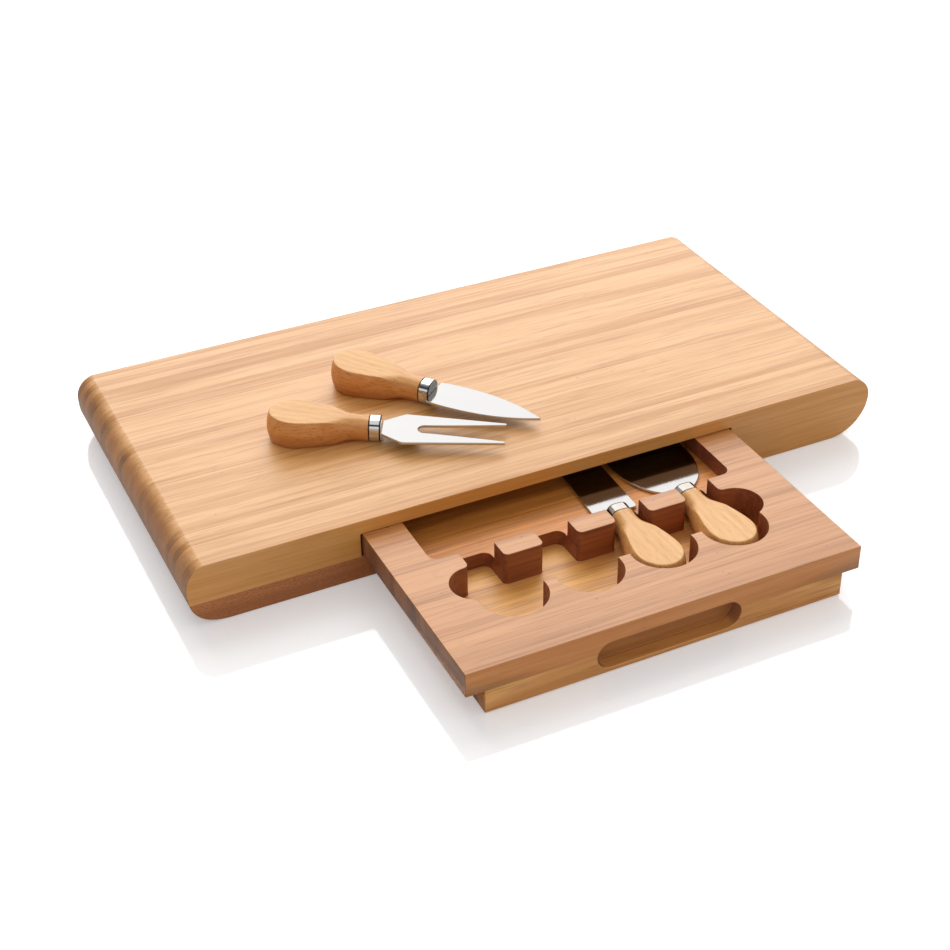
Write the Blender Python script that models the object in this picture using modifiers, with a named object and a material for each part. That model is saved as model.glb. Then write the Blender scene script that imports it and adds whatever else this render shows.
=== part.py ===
"""Cheese board set: a bamboo board, a drawer that slides under it, and four cheese tools.

Metres, +Z up. The board's long side runs along X and the drawer opens towards -Y.
The origin lies on the table, below the middle of the set as it stands here: the
drawer drawn out, two tools in it and two lying on the board.
"""

from math import asin, atan, cos, pi, radians, sin

import bmesh
import bpy

# Board
BOARD_LENGTH = 0.400
BOARD_THICK = 0.035
LOWER_THICK = 0.0132
NOSE_DROP = 0.0124
NOSE_REACH = 0.0098
UNDERCUT_REACH = 0.024
BACK_RAIL_DEPTH = 0.0240
GLUE_GAP = 0.0003

# Drawer: a tray plate whose overhanging sides run in the board's groove, on a base plate
TRAY_THICK = 0.0132
TRAY_SIDE = 0.02195
TRAY_BACK = 0.0150
RUNNER_WIDTH = 0.00965
DRAWER_OUT = 0.1193
RUNNER_GAP = 0.0004
TOP_GAP = 0.0004
SIDE_GAP = 0.0010
TABLE_GAP = 0.0003

# Tools, measured along each from the ferrule's face: blade ahead, handle behind
FERRULE_LENGTH = 0.0063
FERRULE_WIDTH = 0.0128
FERRULE_HEIGHT = 0.0130
FERRULE_CORNER = 0.0036
FERRULE_WALL = 0.0006
FERRULE_FACE = 0.0009
HANDLE_END = 0.0612
HANDLE_WIDTH = 0.0268
HANDLE_BUTT_THICK = 0.0168
HANDLE_NECK_END = 0.0110
HANDLE_WIDEST = 0.0455
HANDLE_ROUNDING = 0.0036
HANDLE_EDGE_ROUNDING = 0.0009
TANG_WIDTH = 0.0060
TANG_LENGTH = 0.0260
BLADE_THICK = 0.0015
BLADE_REACH = 0.0660
BLADE_EDGE = 0.0003
GRIND_LENGTH = 0.0070
GRIND_EDGE = 0.0004
SEAT_GAP = 0.0003

# Outlines of the four blades
FLAT_HEEL_WIDTH = 0.0246
FLAT_END_WIDTH = 0.0220
FLAT_CORNER = 0.0020
SPADE_WIDTH = 0.0450
SPADE_SHOULDER = 0.0340
SPADE_CROWN = 0.0030
POINT_HEEL_WIDTH = 0.0204
POINT_WIDTH = 0.0226
POINT_WIDEST = 0.0120
POINT_REACH = 0.0635
FORK_SHOULDER_WIDTH = 0.0276
FORK_SHOULDER = 0.0100
FORK_SHOULDER_CORNER = 0.0030
FORK_END_WIDTH = 0.0208
FORK_TINE_WIDTH = 0.0029
FORK_SLOT_START = 0.0192
FORK_SLOT_WIDTH = 0.0074

# Clearances round a stored tool, and what the row of tools needs beyond them
TOOL_COUNT = 4
BLADE_SPACING = 0.0064
BLADE_SIDE_GAP = 0.00155
BLADE_END_GAP = 0.0048
BUTT_SIDE_GAP = 0.0040
BUTT_END_GAP = 0.0018
NECK_SIDE_GAP = 0.0032
NECK_END_GAP = 0.0015
HANDLE_TOP_GAP = 0.00025
HANDLE_FLOOR_GAP = 0.00135
NECK_CORNER = 0.0045
NECK_FILLET = 0.0030
CHANNEL_CORNER = 0.0050
CHANNEL_STEP = 0.0052
FINGER_WIDTH = 0.0258
FINGER_OFFSET = 0.0024
FINGER_PAST = 0.0078

# Finger pull in the drawer's front
PULL_LENGTH = 0.0790
PULL_HEIGHT = 0.0155
PULL_CENTRE_Z = 0.0104
PULL_DEPTH = 0.0080

# Where the tools lie: the ferrule face's place and the way the blade points
STORED_PLACE = 0.0892
SPADE_SHIFT = -0.0014
SPADE_TURN = radians(90.0)
FLAT_TURN = radians(87.2)
FORK_PLACE = (-0.0693, -0.0356)
FORK_TURN = radians(-29.4)
POINT_PLACE = (-0.0300, -0.0150)
POINT_TURN = radians(-49.5)

# How far a cutter runs past what it cuts, and how near two points are joined
OVERRUN = 0.0020
WELD_REACH = 0.00001

# How fast the pointed blade draws in, how square to its plane a cap lies, and facet counts
POINT_TAPER_POWER = 2.4
CAP_NORMAL_SHARE = 0.99
ARC_STEPS = 8
BUTT_STEPS = 24
NOSE_STEPS = 12
ROUNDING_SEGMENTS = 3

# The tool row, its places measured back from the drawer's front face
TOOL_PITCH = (SPADE_WIDTH + FLAT_HEEL_WIDTH) / 2 + BLADE_SPACING
ROW_WIDTH = (TOOL_COUNT - 1) * TOOL_PITCH
CHANNEL_WIDTH = ROW_WIDTH + SPADE_WIDTH + 2 * BLADE_SIDE_GAP
CHANNEL_FRONT = STORED_PLACE - CHANNEL_STEP
CHANNEL_BACK = STORED_PLACE + BLADE_REACH + BLADE_END_GAP
CHANNEL_DROP = (HANDLE_BUTT_THICK + BLADE_THICK) / 2 + SEAT_GAP + HANDLE_TOP_GAP
POCKET_DROP = HANDLE_BUTT_THICK + HANDLE_TOP_GAP + HANDLE_FLOOR_GAP
NECK_WIDTH = FERRULE_WIDTH + 2 * NECK_SIDE_GAP
NECK_END = STORED_PLACE + NECK_END_GAP
BUTT_RADIUS = HANDLE_WIDTH / 2 + BUTT_SIDE_GAP
BUTT_CENTRE = STORED_PLACE - HANDLE_END - BUTT_END_GAP + BUTT_RADIUS
FINGER_FRONT = BUTT_CENTRE + FINGER_OFFSET
FINGER_BACK = FINGER_FRONT + FINGER_WIDTH
FINGER_LENGTH = ROW_WIDTH + 2 * (BUTT_RADIUS + FINGER_PAST)

# The drawer follows its tool row, and the board its drawer
TRAY_WIDTH = CHANNEL_WIDTH + 2 * TRAY_SIDE
BASE_WIDTH = TRAY_WIDTH - 2 * RUNNER_WIDTH
DRAWER_DEPTH = CHANNEL_BACK + TRAY_BACK
CAVITY_DEPTH = DRAWER_DEPTH + SIDE_GAP
BOARD_DEPTH = CAVITY_DEPTH + BACK_RAIL_DEPTH

LEDGE_Z = LOWER_THICK
TONGUE_Z = LEDGE_Z + RUNNER_GAP
TRAY_TOP_Z = TONGUE_Z + TRAY_THICK
GROOVE_TOP_Z = TRAY_TOP_Z + TOP_GAP
GROOVE_WIDTH = TRAY_WIDTH + 2 * SIDE_GAP
SLOT_WIDTH = BASE_WIDTH + 2 * SIDE_GAP
BASE_THICK = TONGUE_Z - GLUE_GAP - TABLE_GAP
CHANNEL_FLOOR_Z = TRAY_TOP_Z - CHANNEL_DROP
POCKET_FLOOR_Z = TRAY_TOP_Z - POCKET_DROP
HANDLE_LENGTH = HANDLE_END - FERRULE_LENGTH
LEAN = atan((HANDLE_BUTT_THICK - FERRULE_HEIGHT) / 2 / HANDLE_END)

BAMBOO_LIGHT = (0.86, 0.62, 0.38)
BAMBOO_WARM = (0.76, 0.48, 0.28)
BAMBOO_DARK = (0.42, 0.19, 0.08)
BEECH = (0.52, 0.26, 0.11)
STEEL = (0.78, 0.79, 0.80)
CHROME = (0.86, 0.87, 0.88)


def clear_scene():
    for item in list(bpy.data.objects):
        bpy.data.objects.remove(item, do_unlink=True)


def make_collection(name):
    collection = bpy.data.collections.new(name)
    bpy.context.scene.collection.children.link(collection)
    return collection


def material(name, colour, roughness, metallic=0.0):
    made = bpy.data.materials.get(name) or bpy.data.materials.new(name)
    made.use_nodes = True
    shader = made.node_tree.nodes["Principled BSDF"]
    shader.inputs["Base Color"].default_value = (*colour, 1.0)
    shader.inputs["Roughness"].default_value = roughness
    shader.inputs["Metallic"].default_value = metallic
    made.diffuse_color = (*colour, 1.0)
    return made


def empty(name, parent=None, location=(0, 0, 0), rotation=(0, 0, 0)):
    frame = bpy.data.objects.new(name, None)
    PARTS.objects.link(frame)
    frame.parent = parent
    frame.location = location
    frame.rotation_euler = rotation
    return frame


def finish(body, parent, look=None):
    """Give a piece its parent and look, or mark it as a cutter when it has no look."""
    body.parent = parent
    if look:
        body.data.materials.append(look)
        return body
    PARTS.objects.unlink(body)
    CUTTERS.objects.link(body)
    body.hide_render = True
    body.display_type = "WIRE"
    return body


def block(name, size, centre, parent, look=None):
    """A box, given by its size and the place of its middle."""
    mesh = bpy.data.meshes.new(name)
    cage = bmesh.new()
    bmesh.ops.create_cube(cage, size=1.0)
    bmesh.ops.scale(cage, vec=size, verts=cage.verts)
    cage.to_mesh(mesh)
    cage.free()
    body = bpy.data.objects.new(name, mesh)
    PARTS.objects.link(body)
    body.location = centre
    return finish(body, parent, look)


def prism(name, outline, thick, parent, look=None, location=(0, 0, 0), rotation=(0, 0, 0)):
    """A flat outline filled and given an even thickness about its plane."""
    curve = bpy.data.curves.new(name, "CURVE")
    curve.dimensions = "2D"
    curve.fill_mode = "BOTH"
    curve.extrude = thick / 2
    spline = curve.splines.new("POLY")
    spline.points.add(len(outline) - 1)
    for point, (x, y) in zip(spline.points, outline):
        point.co = (x, y, 0, 1)
    spline.use_cyclic_u = True
    drawn = bpy.data.objects.new(name, curve)
    PARTS.objects.link(drawn)
    graph = bpy.context.evaluated_depsgraph_get()
    mesh = bpy.data.meshes.new_from_object(drawn.evaluated_get(graph))
    bpy.data.objects.remove(drawn)
    bpy.data.curves.remove(curve)
    weld(mesh)
    mesh.name = name
    body = bpy.data.objects.new(name, mesh)
    PARTS.objects.link(body)
    body.location = location
    body.rotation_euler = rotation
    return finish(body, parent, look)


def weld(mesh):
    """Join a filled curve's caps to its sides and make each cap a single face."""
    cage = bmesh.new()
    cage.from_mesh(mesh)
    bmesh.ops.remove_doubles(cage, verts=cage.verts, dist=WELD_REACH)
    inner = [
        edge for edge in cage.edges
        if len(edge.link_faces) == 2
        and all(abs(face.normal.z) > CAP_NORMAL_SHARE for face in edge.link_faces)
    ]
    bmesh.ops.dissolve_edges(cage, edges=inner, use_verts=False)
    bmesh.ops.recalc_face_normals(cage, faces=cage.faces)
    cage.to_mesh(mesh)
    cage.free()


def combine(body, tool, operation="DIFFERENCE"):
    """Cut or join one body with another by a Boolean."""
    change = body.modifiers.new(operation.title() + " " + tool.name, "BOOLEAN")
    change.operation = operation
    change.solver = "EXACT"
    change.object = tool


def arc(centre, radius, start, end, steps=ARC_STEPS):
    """Points round a circle or, with two radii, an ellipse, from one angle to another."""
    wide, high = radius if isinstance(radius, tuple) else (radius, radius)
    turns = [start + (end - start) * step / steps for step in range(steps + 1)]
    return [(centre[0] + wide * cos(turn), centre[1] + high * sin(turn)) for turn in turns]


def rounded_rectangle(width, height, corner, centre=(0, 0)):
    points = []
    for side_x, side_y, start in ((1, -1, -pi / 2), (1, 1, 0), (-1, 1, pi / 2), (-1, -1, pi)):
        middle = (
            centre[0] + side_x * (width / 2 - corner),
            centre[1] + side_y * (height / 2 - corner),
        )
        points += arc(middle, corner, start, start + pi / 2)
    return points


def mirrored(half):
    """Close an outline given on its +Y side, from one end on the axis to the other."""
    return half + [(x, -y) for x, y in reversed(half) if y > 0]


def nose(top, bottom):
    """The end of the board in its XZ section, from a height down to a lower one.

    The upper edge is a quarter ellipse and the finger undercut below it a larger one.
    """
    middle = BOARD_THICK - NOSE_DROP
    flat_end = BOARD_LENGTH / 2 - NOSE_REACH
    undercut_end = BOARD_LENGTH / 2 - UNDERCUT_REACH
    points = []
    if top > middle:
        points += arc((flat_end, middle), (NOSE_REACH, NOSE_DROP), pi / 2, 0, NOSE_STEPS)[:-1]
        top = middle
    first = asin((top - middle) / middle)
    last = asin((bottom - middle) / middle)
    points += arc((undercut_end, middle), (UNDERCUT_REACH, middle), first, last, NOSE_STEPS)
    return points


def make_board(frame):
    """The upper layer with its groove, and the three pieces of the lower layer."""
    light = material("bamboo_light", BAMBOO_LIGHT, 0.45)
    dark = material("bamboo_dark", BAMBOO_DARK, 0.5)
    upright = (radians(90.0), 0, 0)
    right_end = nose(BOARD_THICK, LEDGE_Z + GLUE_GAP)
    left_end = [(-x, z) for x, z in reversed(right_end)]
    top = prism("top_board", right_end + left_end, BOARD_DEPTH, frame, light, rotation=upright)
    groove_height = GROOVE_TOP_Z - LEDGE_Z
    groove = block(
        "groove_cutter",
        (GROOVE_WIDTH, CAVITY_DEPTH + OVERRUN, groove_height + OVERRUN),
        (0, -BOARD_DEPTH / 2 + (CAVITY_DEPTH - OVERRUN) / 2, GROOVE_TOP_Z - (groove_height + OVERRUN) / 2),
        frame,
    )
    combine(top, groove)

    inner = SLOT_WIDTH / 2
    for side, name, look in ((-1, "lower_left_rail", dark), (1, "lower_right_rail", light)):
        outline = [(side * x, z) for x, z in nose(LEDGE_Z, 0)]
        outline += [(side * inner, 0), (side * inner, LEDGE_Z)]
        prism(name, outline, BOARD_DEPTH, frame, look, rotation=upright)

    block("lower_back_rail",
          (SLOT_WIDTH - 2 * GLUE_GAP, BACK_RAIL_DEPTH, LOWER_THICK),
          (0, (BOARD_DEPTH - BACK_RAIL_DEPTH) / 2, LOWER_THICK / 2),
          frame, dark)


def pocket_place(number):
    """How far across the drawer a pocket's middle lies, the pockets counted from the left."""
    return number * TOOL_PITCH - ROW_WIDTH / 2


def pocket_outline(centre):
    """One tool's deep pocket: ferrule neck, flared into the finger slot, and round butt end."""
    half = NECK_WIDTH / 2
    flare = half + NECK_FILLET
    lean = asin(flare / BUTT_RADIUS)
    right = arc((half - NECK_CORNER, NECK_END - NECK_CORNER), NECK_CORNER, pi / 2, 0)
    right += arc((flare, FINGER_BACK + NECK_FILLET), NECK_FILLET, pi, 1.5 * pi)
    butt = arc((0, BUTT_CENTRE), BUTT_RADIUS, pi / 2 - lean, -1.5 * pi + lean, BUTT_STEPS)
    left = [(-x, y) for x, y in reversed(right)]
    return [(centre + x, y) for x, y in right + butt + left]


def make_drawer(frame):
    """The tray plate and the base plate glued under it, with the tool row cut in."""
    middle = DRAWER_DEPTH / 2
    tray = block("drawer_tray", (TRAY_WIDTH, DRAWER_DEPTH, TRAY_THICK),
                 (0, middle, TONGUE_Z + TRAY_THICK / 2), frame,
                 material("bamboo_warm", BAMBOO_WARM, 0.5))
    base = block("drawer_base", (BASE_WIDTH, DRAWER_DEPTH, BASE_THICK),
                 (0, middle, TABLE_GAP + BASE_THICK / 2), frame,
                 material("bamboo_light", BAMBOO_LIGHT, 0.45))

    channel = prism(
        "channel_cutter",
        rounded_rectangle(CHANNEL_WIDTH, CHANNEL_BACK - CHANNEL_FRONT, CHANNEL_CORNER,
                          (0, (CHANNEL_FRONT + CHANNEL_BACK) / 2)),
        CHANNEL_DROP + OVERRUN, frame,
        location=(0, 0, CHANNEL_FLOOR_Z + (CHANNEL_DROP + OVERRUN) / 2),
    )
    combine(tray, channel)

    drop = POCKET_DROP + OVERRUN
    pocket_middle = (0, 0, POCKET_FLOOR_Z + drop / 2)
    finger_width = FINGER_BACK - FINGER_FRONT
    slot = rounded_rectangle(FINGER_LENGTH, finger_width, finger_width / 2,
                             (0, (FINGER_FRONT + FINGER_BACK) / 2))
    cutters = [prism("finger_slot_cutter", slot, drop, frame, location=pocket_middle)]
    for number in range(TOOL_COUNT):
        centre = pocket_place(number)
        cutters.append(prism(f"pocket_cutter_{number + 1}", pocket_outline(centre), drop,
                             frame, location=pocket_middle))
    cutters.append(prism(
        "finger_pull_cutter",
        rounded_rectangle(PULL_LENGTH, PULL_HEIGHT, PULL_HEIGHT / 2),
        PULL_DEPTH + OVERRUN, frame,
        location=(0, (PULL_DEPTH - OVERRUN) / 2, PULL_CENTRE_Z),
        rotation=(radians(90.0), 0, 0),
    ))
    for cutter in cutters:
        combine(tray, cutter)
        combine(base, cutter)


def handle_half_width(place):
    """Half the handle's width at a distance behind the ferrule's face."""
    neck, widest = FERRULE_WIDTH / 2, HANDLE_WIDTH / 2
    if place >= HANDLE_WIDEST:
        run = (place - HANDLE_WIDEST) / (HANDLE_END - HANDLE_WIDEST)
        return widest * max(0, 1 - run ** 2) ** 0.5
    run = max(0, (place - HANDLE_NECK_END) / (HANDLE_WIDEST - HANDLE_NECK_END))
    return neck + (widest - neck) * (3 * run ** 2 - 2 * run ** 3)


def make_handle(name, frame):
    """A drop-shaped handle, thicker and rounder at its butt, with a tenon in the ferrule."""
    start = FERRULE_LENGTH + SEAT_GAP
    body_length = HANDLE_WIDEST - start
    places = [start + body_length * step / BUTT_STEPS for step in range(BUTT_STEPS)]
    butt = arc((HANDLE_WIDEST, 0), (HANDLE_END - HANDLE_WIDEST, HANDLE_WIDTH / 2), pi / 2, 0, NOSE_STEPS)
    half = [(place, handle_half_width(place)) for place in places] + butt[:-1] + [(HANDLE_END, 0)]
    outline = [(-x, y) for x, y in mirrored(half)]
    body = prism(name, outline, FERRULE_HEIGHT, frame, material("beech", BEECH, 0.5))
    swell = (HANDLE_BUTT_THICK - FERRULE_HEIGHT) / 2 / HANDLE_LENGTH

    cage = bmesh.new()
    cage.from_mesh(body.data)
    weights = cage.edges.layers.float.new("bevel_weight_edge")
    for vertex in cage.verts:
        rise = swell * (-vertex.co.x - FERRULE_LENGTH)
        vertex.co.z += rise if vertex.co.z > 0 else -rise
    least = HANDLE_EDGE_ROUNDING / HANDLE_ROUNDING
    for edge in cage.edges:
        one, other = edge.verts
        along_rim = one.co.z * other.co.z > 0
        place = -(one.co.x + other.co.x) / 2
        if along_rim and max(-one.co.x, -other.co.x) > start + SEAT_GAP:
            run = min(1, max(0, (place - start) / (HANDLE_WIDEST - start)))
            edge[weights] = 1 + (least - 1) * run
    cage.to_mesh(body.data)
    cage.free()
    body.data.shade_smooth()

    rounding = body.modifiers.new("Rounding", "BEVEL")
    rounding.limit_method = "WEIGHT"
    rounding.width = HANDLE_ROUNDING
    rounding.segments = ROUNDING_SEGMENTS
    rounding.use_clamp_overlap = True

    inset = 2 * (FERRULE_WALL + SEAT_GAP)
    tenon_front = FERRULE_FACE + SEAT_GAP
    tenon_length = start - tenon_front + OVERRUN
    tenon = prism(
        name + "_tenon",
        rounded_rectangle(FERRULE_WIDTH - inset, FERRULE_HEIGHT - inset, FERRULE_CORNER - inset / 2),
        tenon_length, frame,
        location=(-tenon_front - tenon_length / 2, 0, 0),
        rotation=(radians(90.0), 0, radians(90.0)),
    )
    combine(body, tenon, "UNION")
    combine(body, tang_slot(name, frame, TANG_LENGTH + SEAT_GAP))
    return body


def tang_slot(name, frame, length):
    """The clearance that the blade's tang needs, from ahead of the ferrule's face back."""
    size = (length + OVERRUN, TANG_WIDTH + 2 * SEAT_GAP, BLADE_THICK + 2 * SEAT_GAP)
    return block(name + "_tang_slot", size, ((OVERRUN - length) / 2, 0, 0), frame)


def make_ferrule(name, frame):
    """A chrome cup over the handle's tenon, closed at the blade but for the tang's slot."""
    lengthwise = (radians(90.0), 0, radians(90.0))
    cup = prism(name, rounded_rectangle(FERRULE_WIDTH, FERRULE_HEIGHT, FERRULE_CORNER),
                FERRULE_LENGTH, frame, material("chrome", CHROME, 0.08, 1.0),
                location=(-FERRULE_LENGTH / 2, 0, 0), rotation=lengthwise)
    hollow_length = FERRULE_LENGTH - FERRULE_FACE + OVERRUN
    hollow = prism(
        name + "_hollow",
        rounded_rectangle(FERRULE_WIDTH - 2 * FERRULE_WALL, FERRULE_HEIGHT - 2 * FERRULE_WALL,
                          FERRULE_CORNER - FERRULE_WALL),
        hollow_length, frame,
        location=(-FERRULE_FACE - hollow_length / 2, 0, 0), rotation=lengthwise,
    )
    combine(cup, hollow)
    combine(cup, tang_slot(name, frame, FERRULE_FACE + OVERRUN))
    return cup


def with_tang(half):
    """Put the tang on a blade outline given from its heel, on its +Y side."""
    return [(-TANG_LENGTH, TANG_WIDTH / 2), (SEAT_GAP, TANG_WIDTH / 2)] + half


def flat_outline():
    """A straight plane blade, a little narrower at its working end."""
    heel, end = FLAT_HEEL_WIDTH / 2, FLAT_END_WIDTH / 2
    half = arc((SEAT_GAP + FLAT_CORNER, heel - FLAT_CORNER), FLAT_CORNER, pi, pi / 2)
    half += arc((BLADE_REACH - FLAT_CORNER, end - FLAT_CORNER), FLAT_CORNER, pi / 2, 0)
    return mirrored(with_tang(half))


def spade_outline():
    """A broad spade blade: elliptical shoulders, straight sides and a slightly bowed edge."""
    half_width = SPADE_WIDTH / 2
    centre = (SEAT_GAP + SPADE_SHOULDER, 0)
    start = pi - asin(FERRULE_WIDTH / 2 / half_width)
    half = [(SEAT_GAP, FERRULE_WIDTH / 2)]
    half += arc(centre, (SPADE_SHOULDER, half_width), start, pi / 2, NOSE_STEPS)
    crown = BLADE_REACH - SPADE_CROWN
    half += arc((crown, 0), (SPADE_CROWN, half_width), pi / 2, 0, NOSE_STEPS)
    return mirrored(with_tang(half))


def point_outline():
    """A pointed knife: widest a little ahead of the heel and drawn in to its tip."""
    half = [(SEAT_GAP, POINT_HEEL_WIDTH / 2)]
    for step in range(1, BUTT_STEPS + 1):
        place = SEAT_GAP + (POINT_REACH - SEAT_GAP) * step / BUTT_STEPS
        if place < POINT_WIDEST:
            run = (POINT_WIDEST - place) / (POINT_WIDEST - SEAT_GAP)
            half.append((place, (POINT_WIDTH - (POINT_WIDTH - POINT_HEEL_WIDTH) * run ** 2) / 2))
        else:
            run = (place - POINT_WIDEST) / (POINT_REACH - POINT_WIDEST)
            half.append((place, POINT_WIDTH / 2 * (1 - run ** POINT_TAPER_POWER)))
    return mirrored(with_tang(half))


def fork_outline():
    """A two-tined fork, its slot narrow at the root and open at the tips."""
    shoulder, end = FORK_SHOULDER_WIDTH / 2, FORK_END_WIDTH / 2
    tip = FORK_TINE_WIDTH / 2
    slope = atan((shoulder - FERRULE_WIDTH / 2) / FORK_SHOULDER)
    half = [(SEAT_GAP, FERRULE_WIDTH / 2)]
    corner = (FORK_SHOULDER + FORK_SHOULDER_CORNER / 2, shoulder - FORK_SHOULDER_CORNER)
    half += arc(corner, FORK_SHOULDER_CORNER, pi / 2 + slope, pi / 2)
    half += arc((BLADE_REACH - tip, end - tip), tip, pi / 2, -pi / 2)
    root = FORK_SLOT_WIDTH / 2
    half += arc((FORK_SLOT_START + root, 0), root, pi / 2, pi)
    return mirrored(with_tang(half))


def make_blade(name, outline, frame, ground=None):
    """A flat steel blade with eased edges, its working end ground thin where it has one."""
    body = prism(name, outline, BLADE_THICK, frame, material("steel", STEEL, 0.12, 1.0))
    eased = body.modifiers.new("Eased edges", "BEVEL")
    eased.limit_method = "ANGLE"
    eased.angle_limit = radians(60.0)
    eased.width = BLADE_EDGE
    eased.segments = 1
    if ground:
        width, reach = ground
        fall = atan((BLADE_THICK - GRIND_EDGE) / GRIND_LENGTH)
        size = (GRIND_LENGTH + 2 * OVERRUN, width + 2 * OVERRUN, BLADE_THICK)
        middle = (reach - GRIND_LENGTH / 2 + BLADE_THICK / 2 * sin(fall), 0,
                  GRIND_EDGE / 2 + BLADE_THICK / 2 * cos(fall))
        wedge = block(name + "_grind", size, middle, frame)
        wedge.rotation_euler = (0, fall, 0)
        combine(body, wedge)
    return body


def make_tool(name, frame, blade_name, outline, ground=None):
    make_handle(name + "_handle", frame)
    make_ferrule(name + "_ferrule", frame)
    make_blade(blade_name, outline, frame, ground)


def drawer_tool_frame(name, drawer, place, turn):
    """The frame of a tool in the tray, hung on an axis across its blade's far end."""
    tip = (place[0] + BLADE_REACH * cos(turn), place[1] + BLADE_REACH * sin(turn),
           CHANNEL_FLOOR_Z + SEAT_GAP)
    hinge = empty(name + "_hinge", drawer, tip, (0, 0, turn))
    return empty(name + "_frame", hinge, (-BLADE_REACH, 0, BLADE_THICK / 2))


def lying_tool_frame(name, board, place, turn):
    """The frame of a tool that lies on the board on its butt and its ferrule's front edge."""
    height = BOARD_THICK + SEAT_GAP + FERRULE_HEIGHT / 2 * cos(LEAN)
    return empty(name + "_frame", board, (*place, height), (0, LEAN, turn))


def build():
    board = empty("board_frame", location=(0, DRAWER_OUT / 2, 0))
    make_board(board)
    drawer = empty("drawer_frame", board, (0, -BOARD_DEPTH / 2 - DRAWER_OUT, 0))
    make_drawer(drawer)
    last = TOOL_COUNT - 1
    flat_place = (pocket_place(last - 1), STORED_PLACE)
    make_tool("flat_knife", drawer_tool_frame("flat_knife", drawer, flat_place, FLAT_TURN),
              "flat_knife_blade", flat_outline(), (FLAT_HEEL_WIDTH, BLADE_REACH))
    spade_place = (pocket_place(last) + SPADE_SHIFT, STORED_PLACE)
    make_tool("spade_knife", drawer_tool_frame("spade_knife", drawer, spade_place, SPADE_TURN),
              "spade_knife_blade", spade_outline(), (SPADE_WIDTH, BLADE_REACH))
    make_tool("cheese_fork", lying_tool_frame("cheese_fork", board, FORK_PLACE, FORK_TURN),
              "cheese_fork_tines", fork_outline())
    make_tool("pointed_knife", lying_tool_frame("pointed_knife", board, POINT_PLACE, POINT_TURN),
              "pointed_knife_blade", point_outline())


clear_scene()
PARTS = make_collection("cheese_board_set")
CUTTERS = make_collection("cutters")
build()
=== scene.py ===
"""Cheese board set for Blender 4.5: bamboo board, drawer below it and four small tools.

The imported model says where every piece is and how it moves. This script rebuilds each
piece at the same place with eased edges and smooth curves, gives it its bamboo, turned
wood, steel or chrome, and sets up the pale studio that it is looked at in.
Metres, +Z up, the board's long side along X and the drawer opening towards -Y.
"""

from __future__ import annotations

import logging
import math
from dataclasses import dataclass, field
from enum import Enum
from typing import Any, Mapping, Sequence, Union

import bmesh
import bpy
from mathutils import Euler, Matrix, Vector

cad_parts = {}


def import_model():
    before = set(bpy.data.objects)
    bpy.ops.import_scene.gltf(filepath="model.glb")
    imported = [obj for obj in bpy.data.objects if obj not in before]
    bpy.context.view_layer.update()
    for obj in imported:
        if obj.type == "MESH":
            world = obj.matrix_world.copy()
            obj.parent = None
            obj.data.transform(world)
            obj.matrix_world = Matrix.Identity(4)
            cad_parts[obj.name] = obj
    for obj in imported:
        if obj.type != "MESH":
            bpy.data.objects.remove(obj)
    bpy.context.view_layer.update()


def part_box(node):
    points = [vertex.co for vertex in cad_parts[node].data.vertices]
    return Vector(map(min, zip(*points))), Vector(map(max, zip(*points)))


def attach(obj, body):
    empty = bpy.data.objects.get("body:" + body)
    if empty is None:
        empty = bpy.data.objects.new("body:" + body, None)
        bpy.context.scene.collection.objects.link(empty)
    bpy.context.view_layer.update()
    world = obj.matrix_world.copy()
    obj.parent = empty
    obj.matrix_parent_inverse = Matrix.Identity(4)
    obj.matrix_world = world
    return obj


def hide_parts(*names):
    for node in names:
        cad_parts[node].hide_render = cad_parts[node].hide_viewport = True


LOG = logging.getLogger("cheese_board")

Point = tuple[float, float]
Outline = list[Point]
Colour = tuple[float, float, float]


def shaded(colour: Colour, share: float) -> Colour:
    """Return a colour made lighter or darker by a share."""
    return tuple(min(1.0, part * share) for part in colour)


# Node trees written as Python expressions


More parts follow.
